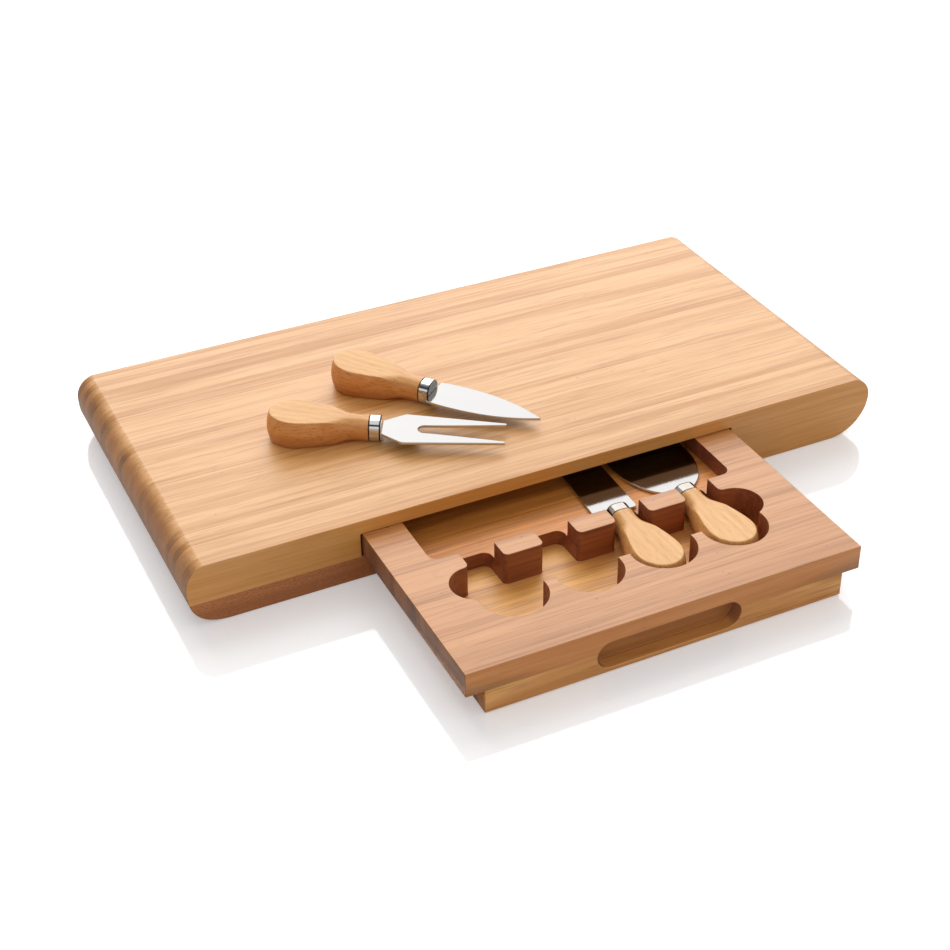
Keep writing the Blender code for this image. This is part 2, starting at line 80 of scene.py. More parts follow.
class Signal:
    """A number that runs through a node tree, with Python's arithmetic."""

    def __init__(self, tree: "NodeWriter", socket: bpy.types.NodeSocket) -> None:
        """Wrap an output socket.

        Args:
            tree: The writer that adds this signal's nodes.
            socket: The output that carries the number.
        """
        self.tree = tree
        self.socket = socket

    def _maths(self, operation: str, *values: "Value") -> "Signal":
        """Add a Math node and return its result."""
        return self.tree.maths(operation, *values)

    def __add__(self, other: "Value") -> "Signal":
        """Return self + other."""
        return self._maths("ADD", self, other)

    __radd__ = __add__

    def __sub__(self, other: "Value") -> "Signal":
        """Return self - other."""
        return self._maths("SUBTRACT", self, other)

    def __rsub__(self, other: "Value") -> "Signal":
        """Return other - self."""
        return self._maths("SUBTRACT", other, self)

    def __mul__(self, other: "Value") -> "Signal":
        """Return self * other."""
        return self._maths("MULTIPLY", self, other)

    __rmul__ = __mul__

    def __truediv__(self, other: "Value") -> "Signal":
        """Return self / other."""
        return self._maths("DIVIDE", self, other)

    def __abs__(self) -> "Signal":
        """Return the size of self without its sign."""
        return self._maths("ABSOLUTE", self)

    def __gt__(self, other: "Value") -> "Signal":
        """Return 1 where self is greater than other, else 0."""
        return self._maths("GREATER_THAN", self, other)

    def __lt__(self, other: "Value") -> "Signal":
        """Return 1 where self is less than other, else 0."""
        return self._maths("LESS_THAN", self, other)

    def floor(self) -> "Signal":
        """Return the whole number below self."""
        return self._maths("FLOOR", self)

    def fraction(self) -> "Signal":
        """Return what is left of self above its floor."""
        return self._maths("FRACT", self)

    def sine(self) -> "Signal":
        """Return the sine of self, in radians."""
        return self._maths("SINE", self)

    def ramp(self, start: float, end: float) -> "Signal":
        """Step smoothly between two levels of self, whichever is greater.

        Args:
            start: Where the step is 0.
            end: Where it is 1.

        Returns:
            The step.
        """
        low, high, first, last = (start, end, 0.0, 1.0) if start < end else (end, start, 1.0, 0.0)
        node = self.tree.node(
            "ShaderNodeMapRange",
            {"interpolation_type": "SMOOTHSTEP"},
            {"Value": self, "From Min": low, "From Max": high, "To Min": first, "To Max": last},
        )
        return Signal(self.tree, node.outputs["Result"])


Value = Union[float, Signal, bpy.types.NodeSocket]
Triple = tuple[Signal, Signal, Signal]


class NodeWriter:
    """Adds nodes to a shader tree or a geometry tree."""

    def __init__(self, tree: bpy.types.NodeTree) -> None:
        """Start on an empty tree.

        Args:
            tree: The tree to write in. Its nodes are cleared.
        """
        self.tree = tree
        tree.nodes.clear()

    def node(
        self,
        kind: str,
        settings: Mapping[str, Any] | None = None,
        inputs: Mapping[Union[str, int], Any] | None = None,
    ) -> bpy.types.Node:
        """Add one node, set it up and wire it.

        Args:
            kind: The node's Blender type.
            settings: The node's own properties, set before its sockets.
            inputs: A value, a Signal or a socket for each named or numbered input.

        Returns:
            The new node.
        """
        made = self.tree.nodes.new(kind)
        for name, value in (settings or {}).items():
            setattr(made, name, value)
        for name, value in (inputs or {}).items():
            self.feed(made.inputs[name], value)
        return made

    def feed(self, socket: bpy.types.NodeSocket, value: Any) -> None:
        """Link a Signal or socket into an input, or set the input's own value.

        Args:
            socket: The input.
            value: What it takes.
        """
        source = value.socket if isinstance(value, Signal) else value
        if isinstance(source, bpy.types.NodeSocket):
            self.tree.links.new(source, socket)
        else:
            socket.default_value = source

    def maths(self, operation: str, *values: Value) -> Signal:
        """Add a Math node.

        Args:
            operation: The Math node's operation.
            values: Its inputs in order.

        Returns:
            The result as a Signal.
        """
        made = self.node("ShaderNodeMath", {"operation": operation}, dict(enumerate(values)))
        return Signal(self, made.outputs[0])

    def split(self, vector: bpy.types.NodeSocket) -> Triple:
        """Return the three numbers of a vector."""
        made = self.node("ShaderNodeSeparateXYZ", inputs={0: vector})
        return tuple(Signal(self, output) for output in made.outputs)

    def vector(self, x: Value, y: Value, z: Value) -> bpy.types.NodeSocket:
        """Return a vector made of three numbers."""
        return self.node("ShaderNodeCombineXYZ", inputs={0: x, 1: y, 2: z}).outputs[0]


class Shader(NodeWriter):
    """Writes a material whose colour, roughness and relief vary over the piece."""

    def __init__(self, name: str) -> None:
        """Make the material.

        Args:
            name: The material's name.
        """
        self.material = bpy.data.materials.new(name)
        self.material.use_nodes = True
        super().__init__(self.material.node_tree)

    def place(self, turned: Matrix | None = None) -> Triple:
        """Return the point's place on the piece.

        Args:
            turned: The frame that the place is measured in, or none for the set's own.

        Returns:
            Distances along X, Y and Z in metres.
        """
        found = self.node("ShaderNodeTexCoord").outputs["Object"]
        if turned is not None:
            found = self.node(
                "ShaderNodeMapping",
                {"vector_type": "TEXTURE"},
                {"Vector": found, "Location": turned.translation, "Rotation": turned.to_euler()},
            ).outputs[0]
        return self.split(found)

    def facing(self) -> Triple:
        """Return the surface's normal on the piece."""
        return self.split(self.node("ShaderNodeTexCoord").outputs["Normal"])

    def within(self, place: Triple, box: Sequence[Point]) -> Signal:
        """Return 1 where a place is inside a box given by its spans, else 0."""
        sides = [(part > low) * (part < high) for part, (low, high) in zip(place, box)]
        return sides[0] * sides[1] * sides[2]

    def noise(self, x: Value, y: Value, z: Value, detail: float = 2.0, warp: float = 0.0) -> Signal:
        """Return soft noise with its mean at one half.

        Args:
            x: Place along the first axis, in noise cells.
            y: Place along the second axis.
            z: Place along the third axis.
            detail: Octaves of finer noise.
            warp: How far the noise is pushed about by itself.

        Returns:
            The noise, about 0.2 to 0.8.
        """
        made = self.node(
            "ShaderNodeTexNoise",
            inputs={
                "Vector": self.vector(x, y, z), "Scale": 1.0, "Detail": detail,
                "Roughness": 0.55, "Distortion": warp,
            },
        )
        return Signal(self, made.outputs[0])

    def chance(self, key: Value) -> Triple:
        """Draw random numbers that are the same wherever their key is.

        Args:
            key: The number that they belong to.

        Returns:
            Three numbers from 0 to 1.
        """
        made = self.node("ShaderNodeTexWhiteNoise", {"noise_dimensions": "1D"}, {"W": key})
        parts = self.node("ShaderNodeSeparateColor", inputs={0: made.outputs["Color"]})
        return tuple(Signal(self, output) for output in parts.outputs)

    def blend(self, share: Value, first: Any, second: Any) -> bpy.types.NodeSocket:
        """Mix two colours.

        Args:
            share: How much of the second colour shows, 0 to 1.
            first: A colour, or a socket that carries one.
            second: A colour, or a socket that carries one.

        Returns:
            The mixed colour's socket.
        """
        colours = [(*c, 1.0) if isinstance(c, tuple) else c for c in (first, second)]
        made = self.node(
            "ShaderNodeMix",
            {"data_type": "RGBA", "clamp_factor": True},
            {0: share, 6: colours[0], 7: colours[1]},
        )
        return made.outputs[2]

    def relief(self, height: Signal, depth: float, strength: float) -> bpy.types.NodeSocket:
        """Raise and lower the surface.

        Args:
            height: The relief, 0 to 1.
            depth: Its depth in metres.
            strength: How strongly it shows, 0 to 1.

        Returns:
            The socket that carries the normal.
        """
        made = self.node(
            "ShaderNodeBump", inputs={"Height": height, "Distance": depth, "Strength": strength}
        )
        return made.outputs[0]

    def surface(self, **sockets: Any) -> bpy.types.Material:
        """End the tree in a Principled shader.

        Args:
            sockets: The shader's inputs, with underscores for the spaces in their names.

        Returns:
            The finished material.
        """
        named = {name.replace("_", " "): value for name, value in sockets.items()}
        if isinstance(named.get("Base Color"), tuple):
            named["Base Color"] = (*named["Base Color"], 1.0)
        shader = self.node("ShaderNodeBsdfPrincipled", inputs=named)
        self.node("ShaderNodeOutputMaterial", inputs={"Surface": shader.outputs[0]})
        return self.material


# Finishes


@dataclass(frozen=True)
class Bamboo:
    """Laminated bamboo: narrow strips on edge, running along X and glued side by side.

    Attributes:
        name: The material's name.
        slot: Not used.
        pale: Colour of the ground.
        streak: Colour of the fibres and the darker strips.
        end: Colour of the strips' ends.
        upright_shade: Darker, more saturated colour that the upright faces lean to: painted shade.
        seed: Which strips turn out light and dark.
        strip: Width of a strip.
        contrast: How much strips and streaks differ.
        knuckle: How strongly the bamboo's joints show.
        mottled: How strongly dark specks show.
        routed: How dark its pocket walls are, part scorch, part painted shade; 0 where none is
            milled.
        cut_and_lit_floor: Colour of its milled floors, part fresh cut, part painted light.
        roughness: Mean roughness.
    """

    name: str
    slot: str
    pale: Colour
    streak: Colour
    end: Colour
    upright_shade: Colour
    seed: float
    strip: float = 0.0052
    contrast: float = 1.0
    knuckle: float = 0.12
    mottled: float = 0.0
    routed: float = 0.0
    cut_and_lit_floor: Colour = (1.0, 1.0, 1.0)
    roughness: float = 0.42

    # Distance between knuckles, and the heights between which painted shade darkens the nose
    KNUCKLE_PITCH = 0.23
    NOSE_PAINTED_SHADE = (0.033, 0.019)
    # Where the milled row is: half its length, its front and its rim, and where painted
    # shade darkens its floor towards the board
    ROW_HALF = 0.100
    ROW_FRONT = -0.150
    ROW_TOP = 0.026
    ROW_PAINTED_SHADE = (-0.062, -0.043)
    # Pale and dark colour of the pocket walls: partly scorched by the cutter, partly painted shade
    SCORCHED_AND_SHADED = ((0.350, 0.074, 0.020), (0.125, 0.024, 0.010))
    # Spans of the finger pull along X, Y and Z, and the colour of the painted shade inside it
    PULL = ((-0.0400, 0.0400), (-0.1590, -0.1510), (0.0020, 0.0185))
    PULL_PAINTED_SHADE = (0.300, 0.120, 0.048)

    def build(self) -> bpy.types.Material:
        """Write the material.

        Returns:
            The finished material.
        """
        tree = Shader(self.name)
        x, y, z = place = tree.place()
        face_x, _, face_z = tree.facing()
        strip = (y / self.strip + self.seed).floor()
        tone, shift, warmth = tree.chance(strip + self.seed)

        # Noise cells per metre: few along the fibre and many across it
        own = strip * 3.7
        drift = tree.noise(x * 7.0, y * 130.0 + own, z * 130.0, 2.0)
        fibre = tree.noise(x * 13.0 + own, y * 480.0, z * 480.0, 3.0, 0.2)
        thread = tree.noise(x * 30.0, y * 1100.0 + own, z * 1100.0, 2.0)
        vein = tree.noise(x * 11.0, y * 280.0 + own, z * 280.0 + self.seed, 3.0, 0.4)
        wide = tree.noise(x * 4.0, y * 16.0, z * 16.0 + self.seed, 1.0)
        pit = tree.noise(x * 330.0, y * 760.0, z * 760.0 + self.seed, 0.0).ramp(0.878, 0.890)

        marks = [
            (thread.ramp(0.54, 0.66) * 0.45 * self.contrast, 0.72),
            (vein.ramp(0.56, 0.68) * (0.2 + tone) * 0.55 * self.contrast, 0.85),
            (self.joints(tree, place, shift, fibre), 0.5),
        ]
        if self.mottled:
            specks = tree.noise(x * 520.0, y * 520.0, z * 1300.0, 2.0).ramp(0.44, 0.60)
            marks.append((specks * self.mottled, 0.6))
        marks.append((pit * 0.6, 0.2))

        share = 0.33 + self.contrast * (
            (tone - 0.5) * 0.70 + (drift - 0.5) * 1.5 + (fibre - 0.5) * 1.4 + (wide - 0.5) * 0.8
        )
        inside = (abs(x) < self.ROW_HALF) * (y > self.ROW_FRONT)
        floor = inside * (z < self.ROW_TOP) * face_z.ramp(0.75, 0.95)
        # Milled floors take a brighter colour: partly freshly cut wood, partly painted light.
        pale = tree.blend(floor, self.pale, self.cut_and_lit_floor) if self.routed else self.pale
        colour = self.marked(tree, tree.blend(share, pale, self.streak), marks)
        # Painted shade: the upright faces lean to a darker, more saturated colour.
        colour = tree.blend(abs(face_z).ramp(0.8, 0.3) * 0.45, colour, self.upright_shade)
        end = abs(face_x).ramp(0.28, 0.80)
        ends = self.ends(tree, place, tone, drift)
        colour = tree.blend(end * (0.8 + 0.2 * warmth), colour, ends)

        if self.routed:
            patch = tree.noise(x * 13.0, y * 150.0, z * 150.0 + self.seed, 2.0)
            colour = self.marked(tree, colour, [
                (floor * patch.ramp(0.46, 0.66) * 0.34, 0.7),
                # Painted shade: the floor darkens towards the board, as under its overhang
                (floor * y.ramp(*self.ROW_PAINTED_SHADE) * 0.36, 0.3),
            ])
            # Pocket walls: partly scorched by the cutter, partly painted shade in the recess.
            wall_tone = 0.5 + (fibre - 0.5) * 2.2 + (drift - 0.5) * 1.2
            wall = inside * abs(face_z).ramp(0.75, 0.35)
            colour = tree.blend(wall * self.routed, colour, tree.blend(wall_tone, *self.SCORCHED_AND_SHADED))
            # Painted shade inside the finger pull's recess.
            pull = tree.within(place, self.PULL)
            colour = tree.blend(pull * 0.4, colour, self.PULL_PAINTED_SHADE)

        return tree.surface(
            Base_Color=colour,
            Roughness=self.roughness + (fibre - 0.5) * 0.18 + end * 0.08,
            Normal=tree.relief(fibre * 0.7 + thread * 0.3, 0.00012, 0.35),
            Specular_IOR_Level=0.70,
        )

    def marked(
        self, tree: Shader, colour: bpy.types.NodeSocket, marks: Sequence[tuple[Signal, float]]
    ) -> bpy.types.NodeSocket:
        """Lay marks over a colour.

        Args:
            tree: The material's writer.
            colour: The colour below.
            marks: How much of each mark shows, and its share of the streak's colour.

        Returns:
            The colour with its marks.
        """
        for share, tone in marks:
            colour = tree.blend(share, colour, shaded(self.streak, tone))
        return colour

    def joints(self, tree: Shader, place: Triple, shift: Signal, fibre: Signal) -> Signal:
        """Draw the bamboo's knuckles, at a place of its own on each strip.

        Args:
            tree: The material's writer.
            place: The point's place on the piece.
            shift: Where along the strip its knuckles are, 0 to 1.
            fibre: The noise that frays them.

        Returns:
            How much of the knuckles' dark colour shows.
        """
        x, y, z = place
        along = ((x / self.KNUCKLE_PITCH + shift).fraction() - 0.5) * self.KNUCKLE_PITCH
        joint = abs(along + (fibre - 0.5) * 0.004).ramp(0.0034, 0.0006)
        mottle = tree.noise(x * 210.0, y * 240.0, z * 240.0, 3.0)
        return joint * mottle.ramp(0.38, 0.62) * self.knuckle

    def ends(
        self, tree: Shader, place: Triple, tone: Signal, drift: Signal
    ) -> bpy.types.NodeSocket:
        """Colour the strips' ends, each as a band, with painted shade towards the board's
        underside.

        Args:
            tree: The material's writer.
            place: The point's place on the piece.
            tone: How dark each strip is, 0 to 1.
            drift: The noise that varies it.

        Returns:
            The socket that carries the colour.
        """
        x, y, z = place
        dots = tree.noise(x * 60.0, y * 900.0, z * 900.0, 1.0)
        band = tone * 0.75 + (drift - 0.5) * 0.9 + (dots - 0.5) * 0.5 + 0.1
        grain = tree.blend(band, shaded(self.end, 1.35), shaded(self.end, 0.62))
        if self.routed:
            return grain
        # Painted shade: the noses' ends darken towards the underside.
        return tree.blend(z.ramp(*self.NOSE_PAINTED_SHADE) * 0.50, grain, shaded(self.end, 0.45))


@dataclass(frozen=True)
class TurnedWood:
    """Fine even hardwood of a handle, its grain along the tool.

    Attributes:
        name: The material's name.
        slot: Not used.
        pale: Colour of the early wood.
        grain: Colour of the grain lines and flecks.
        shade_and_fleck: Colour of the painted shade on the rounded sides and neck, and of the
            flecks.
        side_shading: How strongly that painted shade shows.
        seed: Which part of the wood the handle was cut from.
        roughness: Mean roughness.
    """

    name: str
    slot: str
    pale: Colour
    grain: Colour
    shade_and_fleck: Colour
    side_shading: float
    seed: float
    roughness: float = 0.40

    # Where the neck's painted shade begins along the tool, and the heights of the painted
    # shade on the underside
    NECK_SHADE = (-0.029, -0.018)
    UNDERSIDE_SHADE = (0.0045, -0.0085)

    def build(self, tool: Matrix) -> bpy.types.Material:
        """Write the material.

        Args:
            tool: The tool's frame, whose X runs along the handle.

        Returns:
            The finished material.
        """
        tree = Shader(self.name)
        along, across, up = tree.place(tool)
        bend = tree.noise(along * 22.0 + self.seed, across * 30.0, up * 30.0, 1.0)
        ring = (across * 1500.0 + up * 500.0 + along * 90.0 + (bend - 0.5) * 17.0).sine()
        flow = tree.noise(along * 20.0, across * 330.0 + self.seed, up * 330.0, 3.0, 0.3)
        fleck = tree.noise(along * 150.0, across * 1300.0 + self.seed, up * 1300.0, 1.0)

        share = 0.27 + ring * 0.10 + (flow - 0.5) * 0.95 + (bend - 0.5) * 0.35
        colour = tree.blend(share, self.pale, self.grain)
        # Painted shade: the rounded sides and the neck lean to a darker colour, darker still
        # towards the underside.
        side = abs(tree.facing()[2]).ramp(0.96, 0.55)
        neck = along.ramp(*self.NECK_SHADE) * 0.5
        side_shading = tree.maths("MAXIMUM", side, neck) * (0.15 + flow * 0.95) * self.side_shading
        colour = tree.blend(side_shading, colour, self.shade_and_fleck)
        low = up.ramp(*self.UNDERSIDE_SHADE) * side * self.side_shading * 0.55
        colour = tree.blend(low, colour, shaded(self.shade_and_fleck, 0.45))
        flecks = fleck.ramp(0.55, 0.70) * (0.25 + side * 0.30)
        colour = tree.blend(flecks, colour, shaded(self.shade_and_fleck, 0.60))
        return tree.surface(
            Base_Color=colour,
            Roughness=self.roughness + (flow - 0.5) * 0.2,
            Normal=tree.relief(flow, 0.00010, 0.3),
            Specular_IOR_Level=0.42,
        )


@dataclass(frozen=True)
class PolishedSteel:
    """Blade steel, polished along the blade.

    Attributes:
        name: The material's name.
        slot: Not used.
        tint: Colour of its reflections.
        ground: How much brighter the ground edges are.
        roughness: Mean roughness.
    """

    name: str
    slot: str
    tint: Colour = (0.272, 0.266, 0.261)
    ground: float = 2.3
    roughness: float = 0.085

    def build(self, tool: Matrix) -> bpy.types.Material:
        """Write the material.

        Args:
            tool: The tool's frame, whose X runs along the blade.

        Returns:
            The finished material.
        """
        tree = Shader(self.name)
        along, across, up = tree.place(tool)
        brushed = tree.noise(along * 35.0, across * 2400.0, up * 2400.0, 2.0)
        smear = tree.noise(along * 60.0, across * 90.0, up * 90.0, 2.0)
        colour = tree.blend((smear - 0.35) * 0.25, self.tint, shaded(self.tint, 0.88))
        edge = abs(tree.facing()[2]).ramp(0.75, 0.45)
        colour = tree.blend(edge, colour, shaded(self.tint, self.ground))
        return tree.surface(
            Base_Color=colour,
            Metallic=1.0,
            Roughness=self.roughness + (brushed - 0.5) * 0.10 + (smear - 0.5) * 0.06,
            Normal=tree.relief(brushed, 0.00002, 0.25),
        )


@dataclass(frozen=True)
class Chrome:
    """Bright plated metal of the ferrules.

    Attributes:
        name: The material's name.
        slot: Not used.
        tint: Colour of its reflections.
        rim_dark: Colour of the dark lines along the rims.
        rims: How far the dark lines reach from the blade's rim and from the handle's.
    """

    name: str
    slot: str
    tint: Colour = (0.62, 0.62, 0.62)
    rim_dark: Colour = (0.030, 0.026, 0.023)
    rims: Point = (0.0011, 0.0006)

    # How far behind the front face, which stays bright, the dark line begins
    CLEAN = (-0.00003, -0.00012)

    def build(self, tool: Matrix, length: float) -> bpy.types.Material:
        """Write the material.

        Args:
            tool: The tool's frame, with its origin at the ferrule's front face.
            length: The ferrule's length.

        Returns:
            The finished material.
        """
        tree = Shader(self.name)
        along, across, up = tree.place(tool)
        haze = tree.noise(along * 300.0, across * 300.0, up * 300.0, 2.0)
        plated = tree.blend((haze - 0.4) * 0.2, self.tint, shaded(self.tint, 0.85))
        front, back = self.rims
        # Dark lines along the blade's rim and the handle's rim
        rim_lines = along.ramp(-front, -0.5 * front) * along.ramp(*self.CLEAN)
        rim_lines = rim_lines + along.ramp(back - length, 0.4 * back - length)
        return tree.surface(
            Base_Color=tree.blend(rim_lines, plated, self.rim_dark),
            Metallic=1.0,
            Roughness=0.05 + haze * 0.06 + rim_lines * 0.25,
        )


# Meshes


# Points nearer than this are one, and faces that turn by less than this are one flat face
WELDED = 0.00002
FLAT_TURN = math.radians(0.5)
# How near an edge lies to a glued joint, and how much large faces lead the shading
AT_JOINT = 0.00001
FACE_WEIGHT = 60


def arc(centre: Point, radii: Point, start: float, end: float, steps: int) -> Outline:
    """Return points round an ellipse from one angle to another, both included.

    Args:
        centre: The ellipse's middle.
        radii: Its half width and half height.
        start: First angle in radians.
        end: Last angle in radians.
        steps: How many chords the arc is made of.

    Returns:
        The points.
    """
    turns = [start + (end - start) * step / steps for step in range(steps + 1)]
    return [
        (centre[0] + radii[0] * math.cos(turn), centre[1] + radii[1] * math.sin(turn))
        for turn in turns
    ]


def rectangle(left: float, low: float, right: float, high: float) -> Outline:
    """Return the outline of a rectangle, anticlockwise."""
    return [(left, low), (right, low), (right, high), (left, high)]


def rounded_rectangle(
    width: float, height: float, corner: float, centre: Point = (0.0, 0.0), steps: int = 10
) -> Outline:
    """Return the outline of a rectangle with round corners, anticlockwise.

    Args:
        width: Full width.
        height: Full height.
        corner: Radius of the corners.
        centre: The rectangle's middle.
        steps: Chords in each corner.

    Returns:
        The points.
    """
    points: Outline = []
    quarter = math.pi / 2
    starts = ((1, -1, -quarter), (1, 1, 0.0), (-1, 1, quarter), (-1, -1, math.pi))
    for side_x, side_y, start in starts:
        middle = (
            centre[0] + side_x * (width / 2 - corner),
            centre[1] + side_y * (height / 2 - corner),
        )
        points += arc(middle, (corner, corner), start, start + quarter, steps)
    return points


def fallen(place: float, end: float, radius: float) -> float:
    """Return how far a rounded corner has drawn in at a place on the way to its end."""
    into = max(0.0, place - (end - radius))
    return radius - math.sqrt(max(0.0, radius**2 - into**2))


def mirrored(half: Outline) -> Outline:
    """Close an outline that is given on its +Y side, from one end on the axis to the other."""
    return half + [(x, -y) for x, y in reversed(half) if y > 0]


def skin(cage: bmesh.types.BMesh, rows: Sequence[Sequence[Any]], closed: bool = True) -> None:
    """Join neighbouring rows of points by four-sided faces.

    Args:
        cage: The cage that the points are in.
        rows: Rows of as many points each.
        closed: Whether each row runs back to its first point.
    """
    for one, other in zip(rows, rows[1:]):
        count = len(one)
        for number in range(count if closed else count - 1):
            after = (number + 1) % count
            cage.faces.new((one[number], one[after], other[after], other[number]))


def add_object(name: str, data: bpy.types.ID) -> bpy.types.Object:
    """Put a mesh, a lamp or a camera in the scene as an object at the origin.

    Args:
        name: The object's name.
        data: What it shows.

    Returns:
        The object.
    """
    made = bpy.data.objects.new(name, data)
    bpy.context.scene.collection.objects.link(made)
    return made


def prism(
    name: str, outline: Outline, low: float, high: float, stand: Matrix | None = None
) -> bpy.types.Object:
    """Raise a flat outline into a closed solid.

    Args:
        name: The object's name.
        outline: Points in the outline's own XY plane.
        low: Where the solid starts along the outline's Z.
        high: Where it ends.
        stand: The frame of the outline's plane, or none for the set's own.

    Returns:
        The object, with its place in its mesh.
    """
    cage = bmesh.new()
    rings = [[cage.verts.new((x, y, z)) for x, y in outline] for z in (low, high)]
    skin(cage, rings)
    cage.faces.new(list(reversed(rings[0])))
    cage.faces.new(rings[1])
    return settle(name, cage, stand)


def settle(name: str, cage: bmesh.types.BMesh, stand: Matrix | None = None) -> bpy.types.Object:
    """Turn a finished cage into an object whose place is in its mesh.

    Args:
        name: The object's name.
        cage: The cage, which is freed.
        stand: The frame that the cage was built in.

    Returns:
        The object.
    """
    bmesh.ops.recalc_face_normals(cage, faces=cage.faces)
    if stand is not None:
        cage.transform(stand)
    mesh = bpy.data.meshes.new(name)
    cage.to_mesh(mesh)
    cage.free()
    return add_object(name, mesh)


def bake(piece: bpy.types.Object) -> None:
    """Replace a piece's mesh by what its modifiers make of it, and drop the modifiers.

    Args:
        piece: The piece.
    """
    graph = bpy.context.evaluated_depsgraph_get()
    mesh = bpy.data.meshes.new_from_object(piece.evaluated_get(graph))
    piece.modifiers.clear()
    piece.data = mesh


def ease(
    piece: bpy.types.Object,
    width: float,
    segments: int = 2,
    angle: float = 32.0,
    glued: float | None = None,
) -> None:
    """Round a piece's sharp edges and shade its curved faces smoothly.

    Args:
        piece: The piece to finish.
        width: Width of the rounding.
        segments: Chords across it.
        angle: Edges that turn by less than this, in degrees, are left alone.
        glued: Height of the piece's glued joint, whose edges stay sharp.
    """
    cage = bmesh.new()
    cage.from_mesh(piece.data)
    bmesh.ops.remove_doubles(cage, verts=cage.verts, dist=WELDED)
    if width:
        bmesh.ops.dissolve_limit(
            cage, angle_limit=FLAT_TURN, verts=cage.verts, edges=cage.edges
        )
    weights = cage.edges.layers.float.new("bevel_weight_edge")
    for edge in cage.edges:
        turned = edge.calc_face_angle(0.0) > math.radians(angle)
        joined = glued is not None and all(abs(v.co.z - glued) < AT_JOINT for v in edge.verts)
        eased = turned and not joined and width > 0
        edge[weights] = float(eased)
        edge.smooth = eased or not turned
    cage.to_mesh(piece.data)
    cage.free()
    for face in piece.data.polygons:
        face.use_smooth = True
    if width:
        rounding = piece.modifiers.new("Eased edges", "BEVEL")
        rounding.limit_method = "WEIGHT"
        rounding.width = width
        rounding.segments = segments
        rounding.use_clamp_overlap = False
        rounding.miter_outer = "MITER_ARC"
    level = piece.modifiers.new("Flat faces", "WEIGHTED_NORMAL")
    level.mode = "FACE_AREA_WITH_ANGLE"
    level.weight = FACE_WEIGHT
    level.keep_sharp = True
    bake(piece)


# The cuts that repeat, made by a node tree


class Milling:
    """A node tree that mills a row of equal pockets into a plate."""

    INPUTS = (
        ("Plate", "NodeSocketGeometry"),
        ("Cutter", "NodeSocketObject"),
        ("Count", "NodeSocketInt"),
        ("Pitch", "NodeSocketFloat"),
        ("Finish", "NodeSocketMaterial"),
    )

    def __init__(self) -> None:
        """Write the tree."""
        self.group = bpy.data.node_groups.new("milling", "GeometryNodeTree")
        self.group.is_modifier = True
        for name, kind in self.INPUTS:
            self.group.interface.new_socket(name, in_out="INPUT", socket_type=kind)
        self.group.interface.new_socket("Plate", in_out="OUTPUT", socket_type="NodeSocketGeometry")
        tree = NodeWriter(self.group)
        given = tree.node("NodeGroupInput").outputs
        count, pitch = Signal(tree, given["Count"]), Signal(tree, given["Pitch"])
        first = (count - 1.0) * pitch * -0.5
        row = tree.node(
            "GeometryNodeMeshLine",
            {"mode": "OFFSET", "count_mode": "TOTAL"},
            {
                "Count": given["Count"],
                "Start Location": tree.vector(first, 0.0, 0.0),
                "Offset": tree.vector(pitch, 0.0, 0.0),
            },
        )
        cutter = tree.node("GeometryNodeObjectInfo", inputs={"Object": given["Cutter"]})
        copies = tree.node(
            "GeometryNodeInstanceOnPoints",
            inputs={"Points": row.outputs[0], "Instance": cutter.outputs["Geometry"]},
        )
        tools = tree.node("GeometryNodeRealizeInstances", inputs={0: copies.outputs[0]})
        milled = tree.node(
            "GeometryNodeMeshBoolean",
            {"operation": "DIFFERENCE", "solver": "EXACT"},
            {"Mesh 1": given["Plate"], "Mesh 2": tools.outputs[0]},
        )
        whole = tree.node("GeometryNodeRealizeInstances", inputs={0: milled.outputs[0]})
        finished = tree.node(
            "GeometryNodeSetMaterial",
            inputs={"Geometry": whole.outputs[0], "Material": given["Finish"]},
        )
        tree.node("NodeGroupOutput", inputs={0: finished.outputs[0]})

    def cut(
        self,
        plate: bpy.types.Object,
        cutter: bpy.types.Object,
        finish: bpy.types.Material,
        count: int = 1,
        pitch: float = 0.0,
    ) -> None:
        """Mill a plate and discard the cutter.

        Args:
            plate: The piece to cut.
            cutter: The shape of one pocket, drawn at the middle of the row.
            finish: The plate's material.
            count: How many pockets there are.
            pitch: Distance between them along X.
        """
        step = plate.modifiers.new("Milling", "NODES")
        step.node_group = self.group
        values = {"Cutter": cutter, "Count": count, "Pitch": pitch, "Finish": finish}
        for socket in self.group.interface.items_tree:
            if socket.in_out == "INPUT" and socket.name in values:
                step[socket.identifier] = values[socket.name]
        bake(plate)
        bpy.data.objects.remove(cutter)


# The set's sub-assemblies


def dress(
    piece: bpy.types.Object, node: str, body: str, finish: bpy.types.Material
) -> None:
    """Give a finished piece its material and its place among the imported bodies.

    Args:
        piece: The finished piece.
        node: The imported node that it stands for.
        body: The body that it moves with.
        finish: Its material.
    """
    piece.data.materials.clear()
    piece.data.materials.append(finish)
    low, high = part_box(node)
    points = [vertex.co for vertex in piece.data.vertices]
    off = max(
        max(abs(min(point[axis] for point in points) - low[axis]),
            abs(max(point[axis] for point in points) - high[axis]))
        for axis in range(3)
    )
    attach(piece, body)
    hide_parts(node)
    LOG.info("%s: %d faces, box within %.2f mm", piece.name, len(piece.data.polygons), off * 1000)


